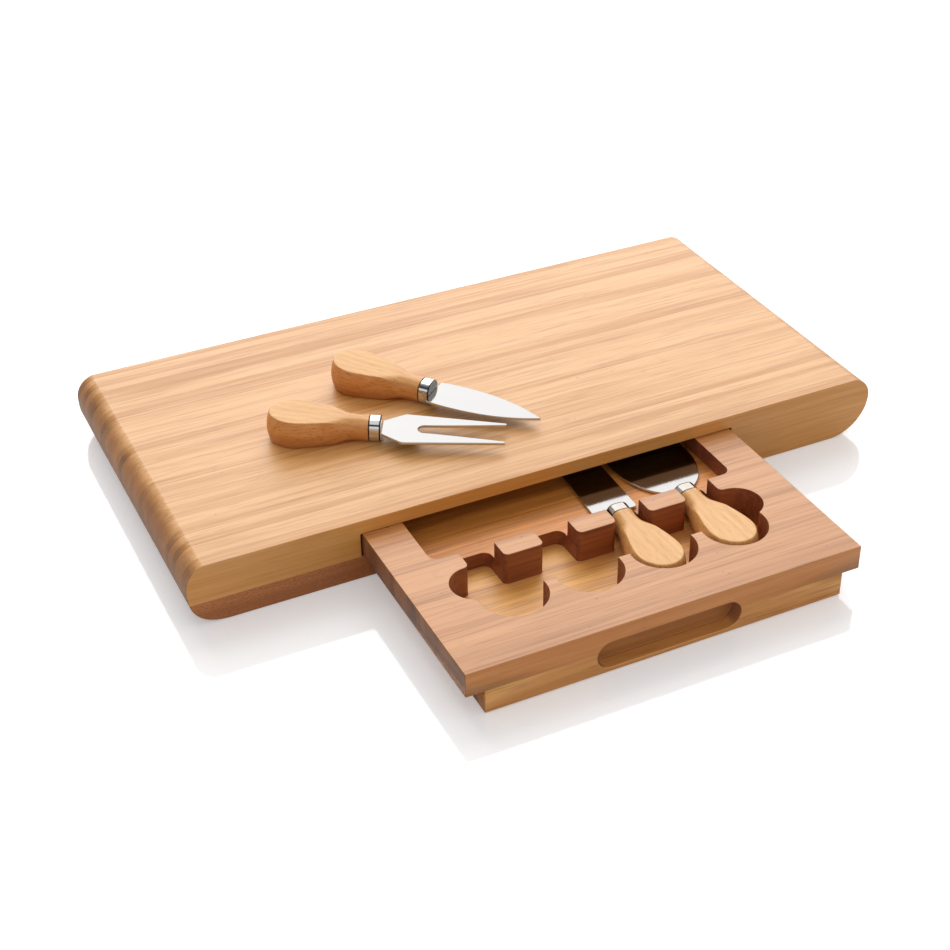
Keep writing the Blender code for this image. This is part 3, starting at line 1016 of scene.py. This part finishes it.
@dataclass
class Board:
    """The serving board: an upper plank with its groove, on three lower pieces."""

    length: float = 0.400
    front: float = -0.04035
    back: float = 0.15965
    thick: float = 0.035
    joint: float = 0.0135
    side_gap: float = 0.0003
    nose_drop: float = 0.0124
    nose_reach: float = 0.0098
    nose_shift: float = 0.0035
    undercut_reach: float = 0.024
    fullness: Point = (2.8, 2.0)
    groove_half: float = 0.1088
    groove_top: float = 0.0272
    slot_half: float = 0.09915
    back_rail: float = 0.024
    edge: float = 0.0004
    top_edge_turn: float = 10.0
    chord: float = 0.0010
    arc_per_drop: float = 1.4

    UPRIGHT = Matrix.Rotation(math.pi / 2, 4, "X")

    def nose(self, side: int, top: float, bottom: float) -> Outline:
        """Return one end's section from one height down to another.

        Args:
            side: -1 for the left end, whose undercut is fuller, and 1 for the right end.
            top: The upper height.
            bottom: The lower height.

        Returns:
            Points in the XZ plane.
        """
        middle = self.thick - self.nose_drop
        flat_end = self.length / 2 - self.nose_reach
        undercut_end = self.length / 2 - self.undercut_reach
        points: Outline = []
        if top > middle:
            wide = self.nose_reach + self.nose_shift
            high = self.nose_drop / math.sqrt(1 - (self.nose_shift / wide) ** 2)
            steps = round(self.arc_per_drop * self.nose_drop / self.chord)
            points += arc((flat_end - self.nose_shift, middle), (wide, high),
                          math.acos(self.nose_shift / wide), 0.0, steps)[:-1]
            top = middle
        power = self.fullness[side > 0]
        depths = [(middle - height) / middle for height in (top, bottom)]
        first, last = (
            math.atan2(depth, (1 - depth**power) ** (1 / power)) for depth in depths
        )
        steps = round((last - first) * middle / self.chord)
        for step in range(steps + 1):
            turn = first + (last - first) * step / steps
            out, down = math.cos(turn), math.sin(turn)
            swell = (abs(out) ** power + abs(down) ** power) ** (-1 / power)
            points.append((undercut_end + self.undercut_reach * out * swell,
                           middle - middle * down * swell))
        return [(side * x, z) for x, z in points]

    def plank(self, name: str, section: Outline, front: float, back: float) -> bpy.types.Object:
        """Run a section in the XZ plane along Y."""
        return prism(name, section, -back, -front, self.UPRIGHT)

    def build(self, milling: Milling, light: Bamboo, dark: Bamboo) -> None:
        """Make the four pieces.

        Args:
            milling: The tree that cuts the groove.
            light: Finish of the upper layer and the right rail.
            dark: Finish of the other lower pieces.
        """
        pale, deep = light.build(), dark.build()
        section = self.nose(1, self.thick, self.joint)
        section += reversed(self.nose(-1, self.thick, self.joint))
        top = self.plank("board_plank", section, self.front, self.back)
        wall = self.back - self.back_rail
        groove = rectangle(-self.groove_half, self.front - self.back_rail, self.groove_half, wall)
        milling.cut(top, prism("groove", groove, 0.0, self.groove_top), pale)
        ease(top, self.edge, 3, self.top_edge_turn, self.joint)
        dress(top, "top_board", "board", pale)

        for side, node, finish, look in (
            (-1, "lower_left_rail", deep, dark), (1, "lower_right_rail", pale, light)
        ):
            section = self.nose(side, self.joint, 0.0)
            section += [(side * self.slot_half, 0.0), (side * self.slot_half, self.joint)]
            rail = self.plank("board_" + node[6:], section, self.front, self.back)
            ease(rail, self.edge, glued=self.joint)
            dress(rail, node, "board", finish)

        half = self.slot_half - self.side_gap
        section = rectangle(-half, 0.0, half, self.joint)
        rail = self.plank("board_back_rail", section, wall, self.back)
        ease(rail, self.edge, glued=self.joint)
        dress(rail, "lower_back_rail", "board", deep)


@dataclass
class Drawer:
    """The drawer: a tray plate on a base plate, with the tool row milled through both."""

    front: float = -0.15965
    depth: float = 0.175
    tray_half: float = 0.1078
    base_half: float = 0.09815
    tray_span: Point = (0.0136, 0.0268)
    base_span: Point = (0.0003, 0.0136)
    edge: float = 0.0004

    count: int = 4
    pitch: float = 0.0412
    neck: float = 0.0192
    neck_corner: float = 0.0045
    neck_end: float = 0.0907
    fillet: float = 0.0030
    butt_radius: float = 0.0174
    butt_centre: float = 0.0436
    pocket_floor: float = 0.0084
    finger_length: float = 0.1740
    finger_span: Point = (0.0460, 0.0718)
    channel_width: float = 0.1717
    channel_span: Point = (0.0840, 0.1600)
    channel_corner: float = 0.0050
    channel_floor: float = 0.0171
    pull_length: float = 0.0790
    pull_height: float = 0.0155
    pull_middle: float = 0.0104
    pull_depth: float = 0.0080
    overrun: float = 0.0020
    corner_steps: int = 10
    round_steps: int = 16
    butt_steps: int = 48

    def plate(self, name: str, half: float, span: Point) -> bpy.types.Object:
        """Return a plain plate of the drawer's depth."""
        return prism(name, rectangle(-half, self.front, half, self.front + self.depth), *span)

    def sunk(self, name: str, outline: Outline, floor: float) -> bpy.types.Object:
        """Return a cutter that goes down to a floor, its outline measured from the front."""
        placed = [(x, self.front + y) for x, y in outline]
        return prism(name, placed, floor, self.tray_span[1] + self.overrun)

    @staticmethod
    def across(width: float, span: Point, corner: float, steps: int) -> Outline:
        """Return a round-cornered outline across the drawer, at a span of its depth."""
        return rounded_rectangle(width, span[1] - span[0], corner, (0.0, sum(span) / 2), steps)

    def pocket(self) -> Outline:
        """Draw one pocket: ferrule neck, flared into the finger slot, and round butt.

        Returns:
            Its outline, with Y measured from the drawer's front.
        """
        half = self.neck / 2
        flare = half + self.fillet
        lean = math.asin(flare / self.butt_radius)
        corner, fillet, radius = (
            (size, size) for size in (self.neck_corner, self.fillet, self.butt_radius)
        )
        right = arc((half - self.neck_corner, self.neck_end - self.neck_corner),
                    corner, math.pi / 2, 0.0, self.corner_steps)
        right += arc((flare, self.finger_span[1] + self.fillet),
                     fillet, math.pi, 1.5 * math.pi, self.corner_steps)
        butt = arc((0.0, self.butt_centre), radius,
                   math.pi / 2 - lean, -1.5 * math.pi + lean, self.butt_steps)
        return right + butt + [(-x, y) for x, y in reversed(right)]

    def mill(self, plate: bpy.types.Object, milling: Milling, finish: bpy.types.Material) -> None:
        """Cut the pockets, the finger slot and the finger pull.

        Args:
            plate: The plate to cut.
            milling: The tree that cuts.
            finish: The plate's material.
        """
        milling.cut(plate, self.sunk("pocket", self.pocket(), self.pocket_floor),
                    finish, self.count, self.pitch)
        wide = self.finger_span[1] - self.finger_span[0]
        finger = self.across(self.finger_length, self.finger_span, wide / 2, self.round_steps)
        milling.cut(plate, self.sunk("finger_slot", finger, self.pocket_floor), finish)
        pull = rounded_rectangle(self.pull_length, self.pull_height, self.pull_height / 2,
                                 (0.0, self.pull_middle), self.round_steps)
        deepest = -(self.front + self.pull_depth)
        cutter = prism("finger_pull", pull, deepest, self.overrun - self.front, Board.UPRIGHT)
        milling.cut(plate, cutter, finish)

    def build(self, milling: Milling, warm: Bamboo, light: Bamboo) -> None:
        """Make the two plates.

        Args:
            milling: The tree that cuts them.
            warm: Finish of the tray plate.
            light: Finish of the base plate.
        """
        caramel, pale = warm.build(), light.build()
        tray = self.plate("drawer_tray_plate", self.tray_half, self.tray_span)
        channel = self.across(self.channel_width, self.channel_span, self.channel_corner,
                              self.corner_steps)
        milling.cut(tray, self.sunk("blade_channel", channel, self.channel_floor), caramel)
        self.mill(tray, milling, caramel)
        ease(tray, self.edge, glued=self.tray_span[0])
        dress(tray, "drawer_tray", "drawer", caramel)

        base = self.plate("drawer_base_plate", self.base_half, self.base_span)
        self.mill(base, milling, pale)
        ease(base, self.edge, glued=self.base_span[1])
        dress(base, "drawer_base", "drawer", pale)


class BladeKind(Enum):
    """The four working ends."""

    FLAT = "flat plane knife"
    SPADE = "broad spade knife"
    FORK = "two-tined fork"
    POINT = "pointed knife"


@dataclass
class Tool:
    """One cheese tool: drop-shaped handle, chrome ferrule and steel blade.

    Its own frame has the origin at the middle of the ferrule's face, X towards the
    blade's end and Z up.
    """

    name: str
    kind: BladeKind
    place: tuple[float, float, float]
    turn: float
    lean: float = 0.0

    ferrule_length: float = 0.0063
    ferrule_width: float = 0.0128
    ferrule_height: float = 0.0130
    ferrule_corner: float = 0.0050
    handle_end: float = 0.0612
    handle_width: float = 0.0268
    butt_thick: float = 0.0168
    neck_end: float = 0.0110
    widest: float = 0.0455
    neck_rounding: float = 0.0060
    neck_swell: float = 0.0040
    neck_run: Point = (0.0165, 0.0320)
    neck_fall: float = 1.3
    crown: float = 0.0016
    rim_rounding: float = 0.0005
    rim_steps: int = 32
    side_steps: int = 72
    butt_steps: int = 40
    blend: float = 0.0006
    blade_thick: float = 0.0015
    blade_reach: float = 0.0660
    grind_length: float = 0.0070
    grind_edge: float = 0.0004
    blade_edge: float = 0.00025
    blade_edge_turn: float = 50.0
    ferrule_wall: float = 0.0006
    ferrule_edge: float = 0.0005
    ferrule_face: float = 0.0009
    edge_steps: int = 4
    gap: float = 0.0003
    frame: Matrix = field(init=False)

    def __post_init__(self) -> None:
        """Work out the tool's frame."""
        turned = Euler((0.0, self.lean, math.radians(self.turn))).to_matrix().to_4x4()
        self.frame = Matrix.Translation(self.place) @ turned

    @property
    def blade_node(self) -> str:
        """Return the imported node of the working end."""
        return self.name + ("_tines" if self.kind is BladeKind.FORK else "_blade")

    # Handle

    def half_width(self, place: float) -> float:
        """Swell the handle smoothly from its neck to its widest part.

        Args:
            place: Distance behind the ferrule's face.

        Returns:
            Half the handle's width there.
        """
        neck, widest = self.ferrule_width / 2, self.handle_width / 2
        run = min(1.0, max(0.0, (place - self.neck_end) / (self.widest - self.neck_end)))
        return neck + (widest - neck) * (3 * run**2 - 2 * run**3)

    def side(self) -> list[tuple[float, float, Point]]:
        """Return the handle's +Y side from the ferrule to the middle of its butt.

        Returns:
            For each point its distance behind the ferrule's face, its distance from the
            axis, and the direction in which its rim is drawn in.
        """
        start = self.ferrule_length + self.gap
        span = self.widest - start
        places = [start + span * step / self.side_steps for step in range(self.side_steps)]
        points = [(place, self.half_width(place)) for place in places]
        points += arc(
            (self.widest, 0.0), (self.handle_end - self.widest, self.handle_width / 2),
            math.pi / 2, 0.0, self.butt_steps,
        )
        ended: list[tuple[float, float, Point]] = []
        for number, (place, half) in enumerate(points):
            before = points[max(0, number - 1)]
            after = points[min(len(points) - 1, number + 1)]
            run = Vector((after[0] - before[0], after[1] - before[1])).normalized()
            inward = (run.y, -run.x)
            if number == 0:
                inward = (0.0, -1.0)
            elif number == len(points) - 1:
                inward = (-1.0, 0.0)
            ended.append((place, half, inward))
        return ended

    def rim(self, place: float) -> list[tuple[float, float]]:
        """Draw the side's profile at a place.

        The crowned side of the butt and the rounded neck run into each other: whichever
        is further in shows, with a narrow blend between them.

        Args:
            place: Distance behind the ferrule's face.

        Returns:
            How far in and how high each point is, from top to bottom.
        """
        start = self.ferrule_length + self.gap
        rise = (self.butt_thick - self.ferrule_height) / 2 / (self.handle_end - self.ferrule_length)
        high = self.ferrule_height / 2 + rise * (place - self.ferrule_length)
        grown = min(1.0, (place - start) / self.neck_swell)
        neck = self.ferrule_corner + (self.neck_rounding - self.ferrule_corner) * grown
        leave = max(0.0, place - self.neck_run[0]) / (self.neck_run[1] - self.neck_run[0])
        leave **= self.neck_fall
        crown = self.crown * min(1.0, max(0.0, place - start) / self.neck_run[1])
        profile = []
        for step in range(self.rim_steps + 1):
            height = high * math.cos(math.pi * step / self.rim_steps)
            side = crown * (height / high) ** 2 + fallen(abs(height), high, self.rim_rounding)
            round_neck = fallen(abs(height), high, neck) - neck * leave
            apart = max(0.0, 1.0 - abs(side - round_neck) / self.blend)
            profile.append((max(side, round_neck) + self.blend / 4 * apart**2, height))
        inner = profile[0][0] + self.gap
        return [(inner, high)] + profile + [(inner, -high)]

    def handle(self) -> bpy.types.Object:
        """Make the handle: a round neck that opens into a butt with crowned sides.

        Returns:
            The piece.
        """
        cage = bmesh.new()
        half = self.side()
        chain = half + [(p, -w, (i[0], -i[1])) for p, w, i in reversed(half[:-1])]
        columns = []
        for place, across, inward in chain:
            column = []
            for inset, height in self.rim(place):
                x = place + inward[0] * inset
                y = across + inward[1] * inset
                column.append(cage.verts.new((-x, y, height)))
            columns.append(column)
        skin(cage, columns, closed=False)
        cage.faces.new([column[0] for column in columns])
        cage.faces.new([column[-1] for column in reversed(columns)])
        cage.faces.new(columns[0] + list(reversed(columns[-1])))
        piece = settle(self.name + "_grip", cage, self.frame)
        ease(piece, 0.0)
        return piece

    # Ferrule

    def ferrule(self) -> bpy.types.Object:
        """Make the ferrule: a cup with eased rims, whose open end the handle fills.

        Returns:
            The piece.
        """
        wall, edge = self.ferrule_wall, self.ferrule_edge
        cage = bmesh.new()
        stations = [(x, grown - edge) for x, grown in
                    arc((-edge, 0.0), (edge, edge), 0.0, math.pi / 2, self.edge_steps)]
        stations += [
            (-self.ferrule_length + edge - edge * math.sin(turn), edge * (math.cos(turn) - 1))
            for turn in (math.pi / 2 * step / self.edge_steps
                         for step in range(self.edge_steps + 1))
        ]
        stations += [(-self.ferrule_length, -wall), (-self.ferrule_face, -wall)]
        rings = []
        for x, grown in stations:
            section = rounded_rectangle(
                self.ferrule_width + 2 * grown, self.ferrule_height + 2 * grown,
                self.ferrule_corner + grown, steps=12,
            )
            rings.append([cage.verts.new((x, y, z)) for y, z in section])
        skin(cage, rings)
        cage.faces.new(rings[0])
        cage.faces.new(list(reversed(rings[-1])))
        piece = settle(self.name + "_collar", cage, self.frame)
        ease(piece, 0.0)
        return piece

    # Blade

    def outline(self) -> Outline:
        """Draw the blade, from its heel to its end and back.

        Returns:
            Its outline.
        """
        shapes = {
            BladeKind.FLAT: self.flat_half,
            BladeKind.SPADE: self.spade_half,
            BladeKind.FORK: self.fork_half,
            BladeKind.POINT: self.point_half,
        }
        return mirrored(shapes[self.kind]())

    def flat_half(self) -> Outline:
        """Draw a straight plane blade, a little narrower at its working end.

        Returns:
            The half of its outline on the +Y side.
        """
        heel, end, corner = 0.0123, 0.0110, 0.0020
        half = arc((self.gap + corner, heel - corner), (corner, corner), math.pi, math.pi / 2, 8)
        half += arc((self.blade_reach - corner, end - corner), (corner, corner),
                    math.pi / 2, 0.0, 8)
        return half

    def spade_half(self) -> Outline:
        """Draw a broad blade with elliptical shoulders and a slightly bowed edge.

        Returns:
            The half of its outline on the +Y side.
        """
        half_width, shoulder, crown = 0.0225, 0.0340, 0.0030
        start = math.pi - math.asin(self.ferrule_width / 2 / half_width)
        half = [(self.gap, self.ferrule_width / 2)]
        half += arc((self.gap + shoulder, 0.0), (shoulder, half_width), start, math.pi / 2, 36)
        half += arc((self.blade_reach - crown, 0.0), (crown, half_width), math.pi / 2, 0.0, 24)
        return half

    def point_half(self) -> Outline:
        """Draw a blade that is widest near its heel and drawn in to its tip.

        Returns:
            The half of its outline on the +Y side.
        """
        heel, wide, widest, reach, power = 0.0102, 0.0113, 0.0120, 0.0635, 2.4
        half = [(self.gap, heel)]
        for step in range(1, 49):
            place = self.gap + (reach - self.gap) * step / 48
            if place < widest:
                run = (widest - place) / (widest - self.gap)
                half.append((place, wide - (wide - heel) * run**2))
            else:
                run = (place - widest) / (reach - widest)
                half.append((place, wide * (1 - run**power)))
        return half

    def fork_half(self) -> Outline:
        """Draw a two-tined fork with its slot.

        Returns:
            The half of its outline on the +Y side.
        """
        shoulder, length, corner = 0.0138, 0.0106, 0.0050
        end, tip, slot_start, root, bow = 0.0096, 0.00085, 0.0192, 0.0037, 1.2
        slope = math.atan((shoulder - self.ferrule_width / 2) / length)
        half = [(self.gap, self.ferrule_width / 2)]
        half += arc((length + corner / 2, shoulder - corner), (corner, corner),
                    math.pi / 2 + slope, math.pi / 2 - 0.08, 10)
        half += arc((self.blade_reach - tip, end - tip), (tip, tip), math.pi / 2, -math.pi / 2, 12)
        start, inside = slot_start + root, end - 2 * tip
        run = self.blade_reach - tip - start
        for step in range(23, 0, -1):
            share = step / 24
            half.append((start + run * share, root + (inside - root) * share**bow))
        half += arc((start, 0.0), (root, root), math.pi / 2, math.pi, 12)
        return half

    def blade(self) -> bpy.types.Object:
        """Make the blade, its working end ground thin on the two stored knives.

        Returns:
            The piece.
        """
        half = self.blade_thick / 2
        piece = prism(self.name + "_steel", self.outline(), -half, half)
        if self.kind in (BladeKind.FLAT, BladeKind.SPADE):
            cage = bmesh.new()
            cage.from_mesh(piece.data)
            line = self.blade_reach - self.grind_length
            bmesh.ops.bisect_plane(
                cage, geom=list(cage.verts) + list(cage.edges) + list(cage.faces),
                plane_co=(line, 0.0, 0.0), plane_no=(1.0, 0.0, 0.0),
            )
            fall = (self.blade_thick - self.grind_edge) / self.grind_length
            for vertex in cage.verts:
                if vertex.co.x > line and vertex.co.z > 0:
                    vertex.co.z -= fall * (vertex.co.x - line)
            cage.to_mesh(piece.data)
            cage.free()
        ease(piece, self.blade_edge, 2, self.blade_edge_turn)
        piece.data.transform(self.frame)
        return piece

    def build(self, wood: TurnedWood, steel: PolishedSteel, chrome: Chrome) -> None:
        """Make the tool's three pieces.

        Args:
            wood: Finish of the handle.
            steel: Finish of the blade.
            chrome: Finish of the ferrule.
        """
        dress(self.handle(), self.name + "_handle", self.name, wood.build(self.frame))
        dress(self.ferrule(), self.name + "_ferrule", self.name,
              chrome.build(self.frame, self.ferrule_length))
        dress(self.blade(), self.blade_node, self.name, steel.build(self.frame))


# The studio


@dataclass
class Studio:
    """Pale glossy table, one soft lamp, a white room and the camera at the photograph's angle."""

    camera_place: tuple[float, float, float] = (-0.352385, -0.695277, 0.536715)
    camera_turn: tuple[float, float, float] = (0.9723524, 0.0136421, -0.4477223)
    lens: float = 65.547
    sensor: float = 36.0
    lamp_place: tuple[float, float, float] = (0.72, 1.89, 1.47)
    lamp_size: float = 2.8
    lamp_glow: float = 2.4
    ambient: float = 0.62
    dimming: float = 0.95
    table_half: float = 6.0
    table_drop: float = 0.0002
    table_thick: float = 0.02
    table_tone: Colour = (0.853, 0.861, 0.870)
    table_gloss: float = 0.06
    table_index: float = 1.6
    mirror_fade: Point = (0.14, 0.45)
    lift: Point = (0.28, 0.6)

    WHITE = (1.0, 1.0, 1.0, 1.0)

    def camera(self) -> None:
        """Set up the camera."""
        data = bpy.data.cameras.new("photo_camera")
        data.sensor_width = self.sensor
        data.lens = self.lens
        data.clip_start = 0.01
        held = add_object("photo_camera", data)
        held.location = self.camera_place
        held.rotation_euler = self.camera_turn
        bpy.context.scene.camera = held

    def lamp(self) -> None:
        """Hang the square soft lamp behind the set, looking at it."""
        data = bpy.data.lights.new("back_panel", "AREA")
        data.shape = "SQUARE"
        data.size = self.lamp_size
        data.energy = self.lamp_glow * math.pi * self.lamp_size**2
        held = add_object("back_panel", data)
        held.location = self.lamp_place
        towards = -Vector(self.lamp_place)
        held.rotation_euler = towards.to_track_quat("-Z", "Y").to_euler()

    def dim_parts(self, tree: NodeWriter) -> Signal:
        """Dim parts of the room, for what mirrors it.

        East, north and up are the parts of the direction that is looked in. The dim parts
        are high behind the camera, west on both sides of a window, north-west, and east.

        Args:
            tree: The world's writer.

        Returns:
            How dim the room is in each direction, 0 to 1.
        """
        east, north, up = tree.split(tree.node("ShaderNodeTexCoord").outputs["Generated"])
        behind_camera = (east * -0.43 + north * -0.90).ramp(0.05, 0.4)
        overhead = behind_camera * up.ramp(0.92, 0.78) * up.ramp(0.48, 0.64)
        window = north.ramp(0.50, 0.62) * north.ramp(0.79, 0.74) * up.ramp(0.22, 0.36)
        band = up.ramp(0.50, 0.64) + up.ramp(0.24, 0.14)
        west_side = east * -0.94 + north * 0.34
        west = west_side.ramp(0.12, 0.45) * (1.0 - window) * band * 0.92
        north_west = west_side.ramp(0.42, 0.62) * north.ramp(0.74, 0.79) * 0.92
        east_side = east * 0.98 + north * 0.20
        far_east = east_side.ramp(0.40, 0.66) * east_side.ramp(0.90, 0.74) * 0.35
        dim = overhead
        for part in (west, north_west, far_east):
            dim = tree.maths("MAXIMUM", dim, part)
        return dim

    def room(self) -> None:
        """Make a world that looks white and lights the set softly."""
        world = bpy.data.worlds.new("pale_room")
        world.use_nodes = True
        bpy.context.scene.world = world
        tree = NodeWriter(world.node_tree)
        ray = tree.node("ShaderNodeLightPath").outputs
        glossy = Signal(tree, ray["Is Glossy Ray"])
        seen = tree.maths("MAXIMUM", ray["Is Camera Ray"], glossy)
        seen = tree.maths("MAXIMUM", seen, ray["Is Transmission Ray"])
        level = seen * (1.0 - self.ambient) + self.ambient
        strength = level * (1.0 - self.dim_parts(tree) * glossy * self.dimming)
        glow = tree.node("ShaderNodeBackground", inputs={"Color": self.WHITE, "Strength": strength})
        tree.node("ShaderNodeOutputWorld", inputs={"Surface": glow.outputs[0]})

    def table(self) -> None:
        """Lay the white table: it mirrors the set faintly, and turns plain white further off."""
        half = self.table_half
        top = prism("studio_table", rectangle(-half, -half, half, half),
                    -self.table_thick, -self.table_drop)
        tree = Shader("white_table")
        x, y, _ = tree.place()
        away = (x * x + y * y).ramp(*self.mirror_fade)
        fresnel = tree.node("ShaderNodeFresnel", inputs={"IOR": self.table_index})
        mirror = Signal(tree, fresnel.outputs[0]) * (1.0 - away)
        matt = tree.node("ShaderNodeBsdfDiffuse", inputs={"Color": (*self.table_tone, 1.0)})
        gloss = tree.node(
            "ShaderNodeBsdfAnisotropic",
            inputs={"Color": self.WHITE, "Roughness": self.table_gloss, "Anisotropy": 0.0},
        )
        coated = tree.node(
            "ShaderNodeMixShader", inputs={0: mirror, 1: matt.outputs[0], 2: gloss.outputs[0]}
        )
        ray = Signal(tree, tree.node("ShaderNodeLightPath").outputs["Is Camera Ray"])
        near, far = self.lift
        glow = tree.node(
            "ShaderNodeEmission",
            inputs={"Color": self.WHITE, "Strength": ray * (near + away * far)},
        )
        both = tree.node("ShaderNodeAddShader", inputs={0: coated.outputs[0], 1: glow.outputs[0]})
        tree.node("ShaderNodeOutputMaterial", inputs={"Surface": both.outputs[0]})
        top.data.materials.append(tree.material)

    def build(self) -> None:
        """Set up camera, room, lamp and table."""
        bpy.context.scene.view_settings.view_transform = "Standard"
        self.camera()
        self.room()
        self.lamp()
        self.table()


def tools() -> list[tuple[Tool, TurnedWood]]:
    """Place the four tools as the photograph shows them.

    Returns:
        Each tool with its handle's wood.
    """
    stored_y, stored_z = -0.07045, 0.01815
    lying_z, lean = 0.041797, 0.031035
    made = (
        (3.1, "flat", Tool("flat_knife", BladeKind.FLAT, (0.0206, stored_y, stored_z), 87.2)),
        (7.7, "spade", Tool("spade_knife", BladeKind.SPADE, (0.0604, stored_y, stored_z), 90.0)),
        (1.9, "fork",
         Tool("cheese_fork", BladeKind.FORK, (-0.0693, 0.02405, lying_z), -29.4, lean)),
        (5.3, "point",
         Tool("pointed_knife", BladeKind.POINT, (-0.0300, 0.04465, lying_z), -49.5, lean)),
    )
    # Only the lying tools take the handles' painted shade fully.
    return [
        (tool, TurnedWood("fair_wood_" + word, "beech", pale=(0.86, 0.475, 0.172),
                          grain=(0.62, 0.275, 0.066), shade_and_fleck=(0.60, 0.192, 0.036),
                          side_shading=1.0 if tool.lean else 0.10, seed=seed))
        for seed, word, tool in made
    ]


def bamboos() -> tuple[Bamboo, Bamboo, Bamboo, Bamboo]:
    """Choose the bamboo of the boards.

    Returns:
        That of the plank, of the lower rails, of the tray plate and of the base plate.
    """
    light = Bamboo(
        "bamboo_light", "bamboo_light", pale=(0.79, 0.414, 0.150), streak=(0.54, 0.208, 0.014),
        end=(0.33, 0.118, 0.024), upright_shade=(0.70, 0.298, 0.062), seed=11.3,
    )
    dark = Bamboo(
        "bamboo_dark", "bamboo_dark", pale=(0.62, 0.230, 0.058), streak=(0.32, 0.085, 0.018),
        end=(0.30, 0.105, 0.030), upright_shade=(0.48, 0.150, 0.022), seed=4.6, mottled=0.7,
    )
    warm = Bamboo(
        "bamboo_warm", "bamboo_warm", pale=(0.68, 0.302, 0.104), streak=(0.41, 0.136, 0.014),
        end=(0.18, 0.066, 0.024), upright_shade=(0.68, 0.228, 0.038), seed=2.2, contrast=0.8,
        routed=0.85, cut_and_lit_floor=(0.92, 0.340, 0.060),
    )
    golden = Bamboo(
        "bamboo_golden", "bamboo_light", pale=(0.97, 0.475, 0.128), streak=(0.66, 0.265, 0.060),
        end=(0.36, 0.14, 0.045), upright_shade=(0.34, 0.092, 0.006), seed=8.4, contrast=1.2,
        routed=0.85, cut_and_lit_floor=(1.0, 0.50, 0.125),
    )
    return light, dark, warm, golden


def main() -> None:
    """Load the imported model, dress it and light it."""
    logging.basicConfig(level=logging.INFO, format="%(message)s")
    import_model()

    light, dark, warm, golden = bamboos()
    milling = Milling()
    Board().build(milling, light, dark)
    Drawer().build(milling, warm, golden)
    steel = PolishedSteel("blade_steel", "steel")
    bright = Chrome("ferrule_chrome", "chrome")
    # The stored ferrules take a darker copy of the chrome: painted shade.
    dimmed = Chrome("ferrule_chrome_worn", "chrome", (0.285, 0.260, 0.232), rims=(0.0011, 0.0002))
    for tool, wood in tools():
        tool.build(wood, steel, bright if tool.lean else dimmed)
        LOG.info("%s: %s", tool.name, tool.kind.value)
    Studio().build()


if __name__ == "__main__":
    main()
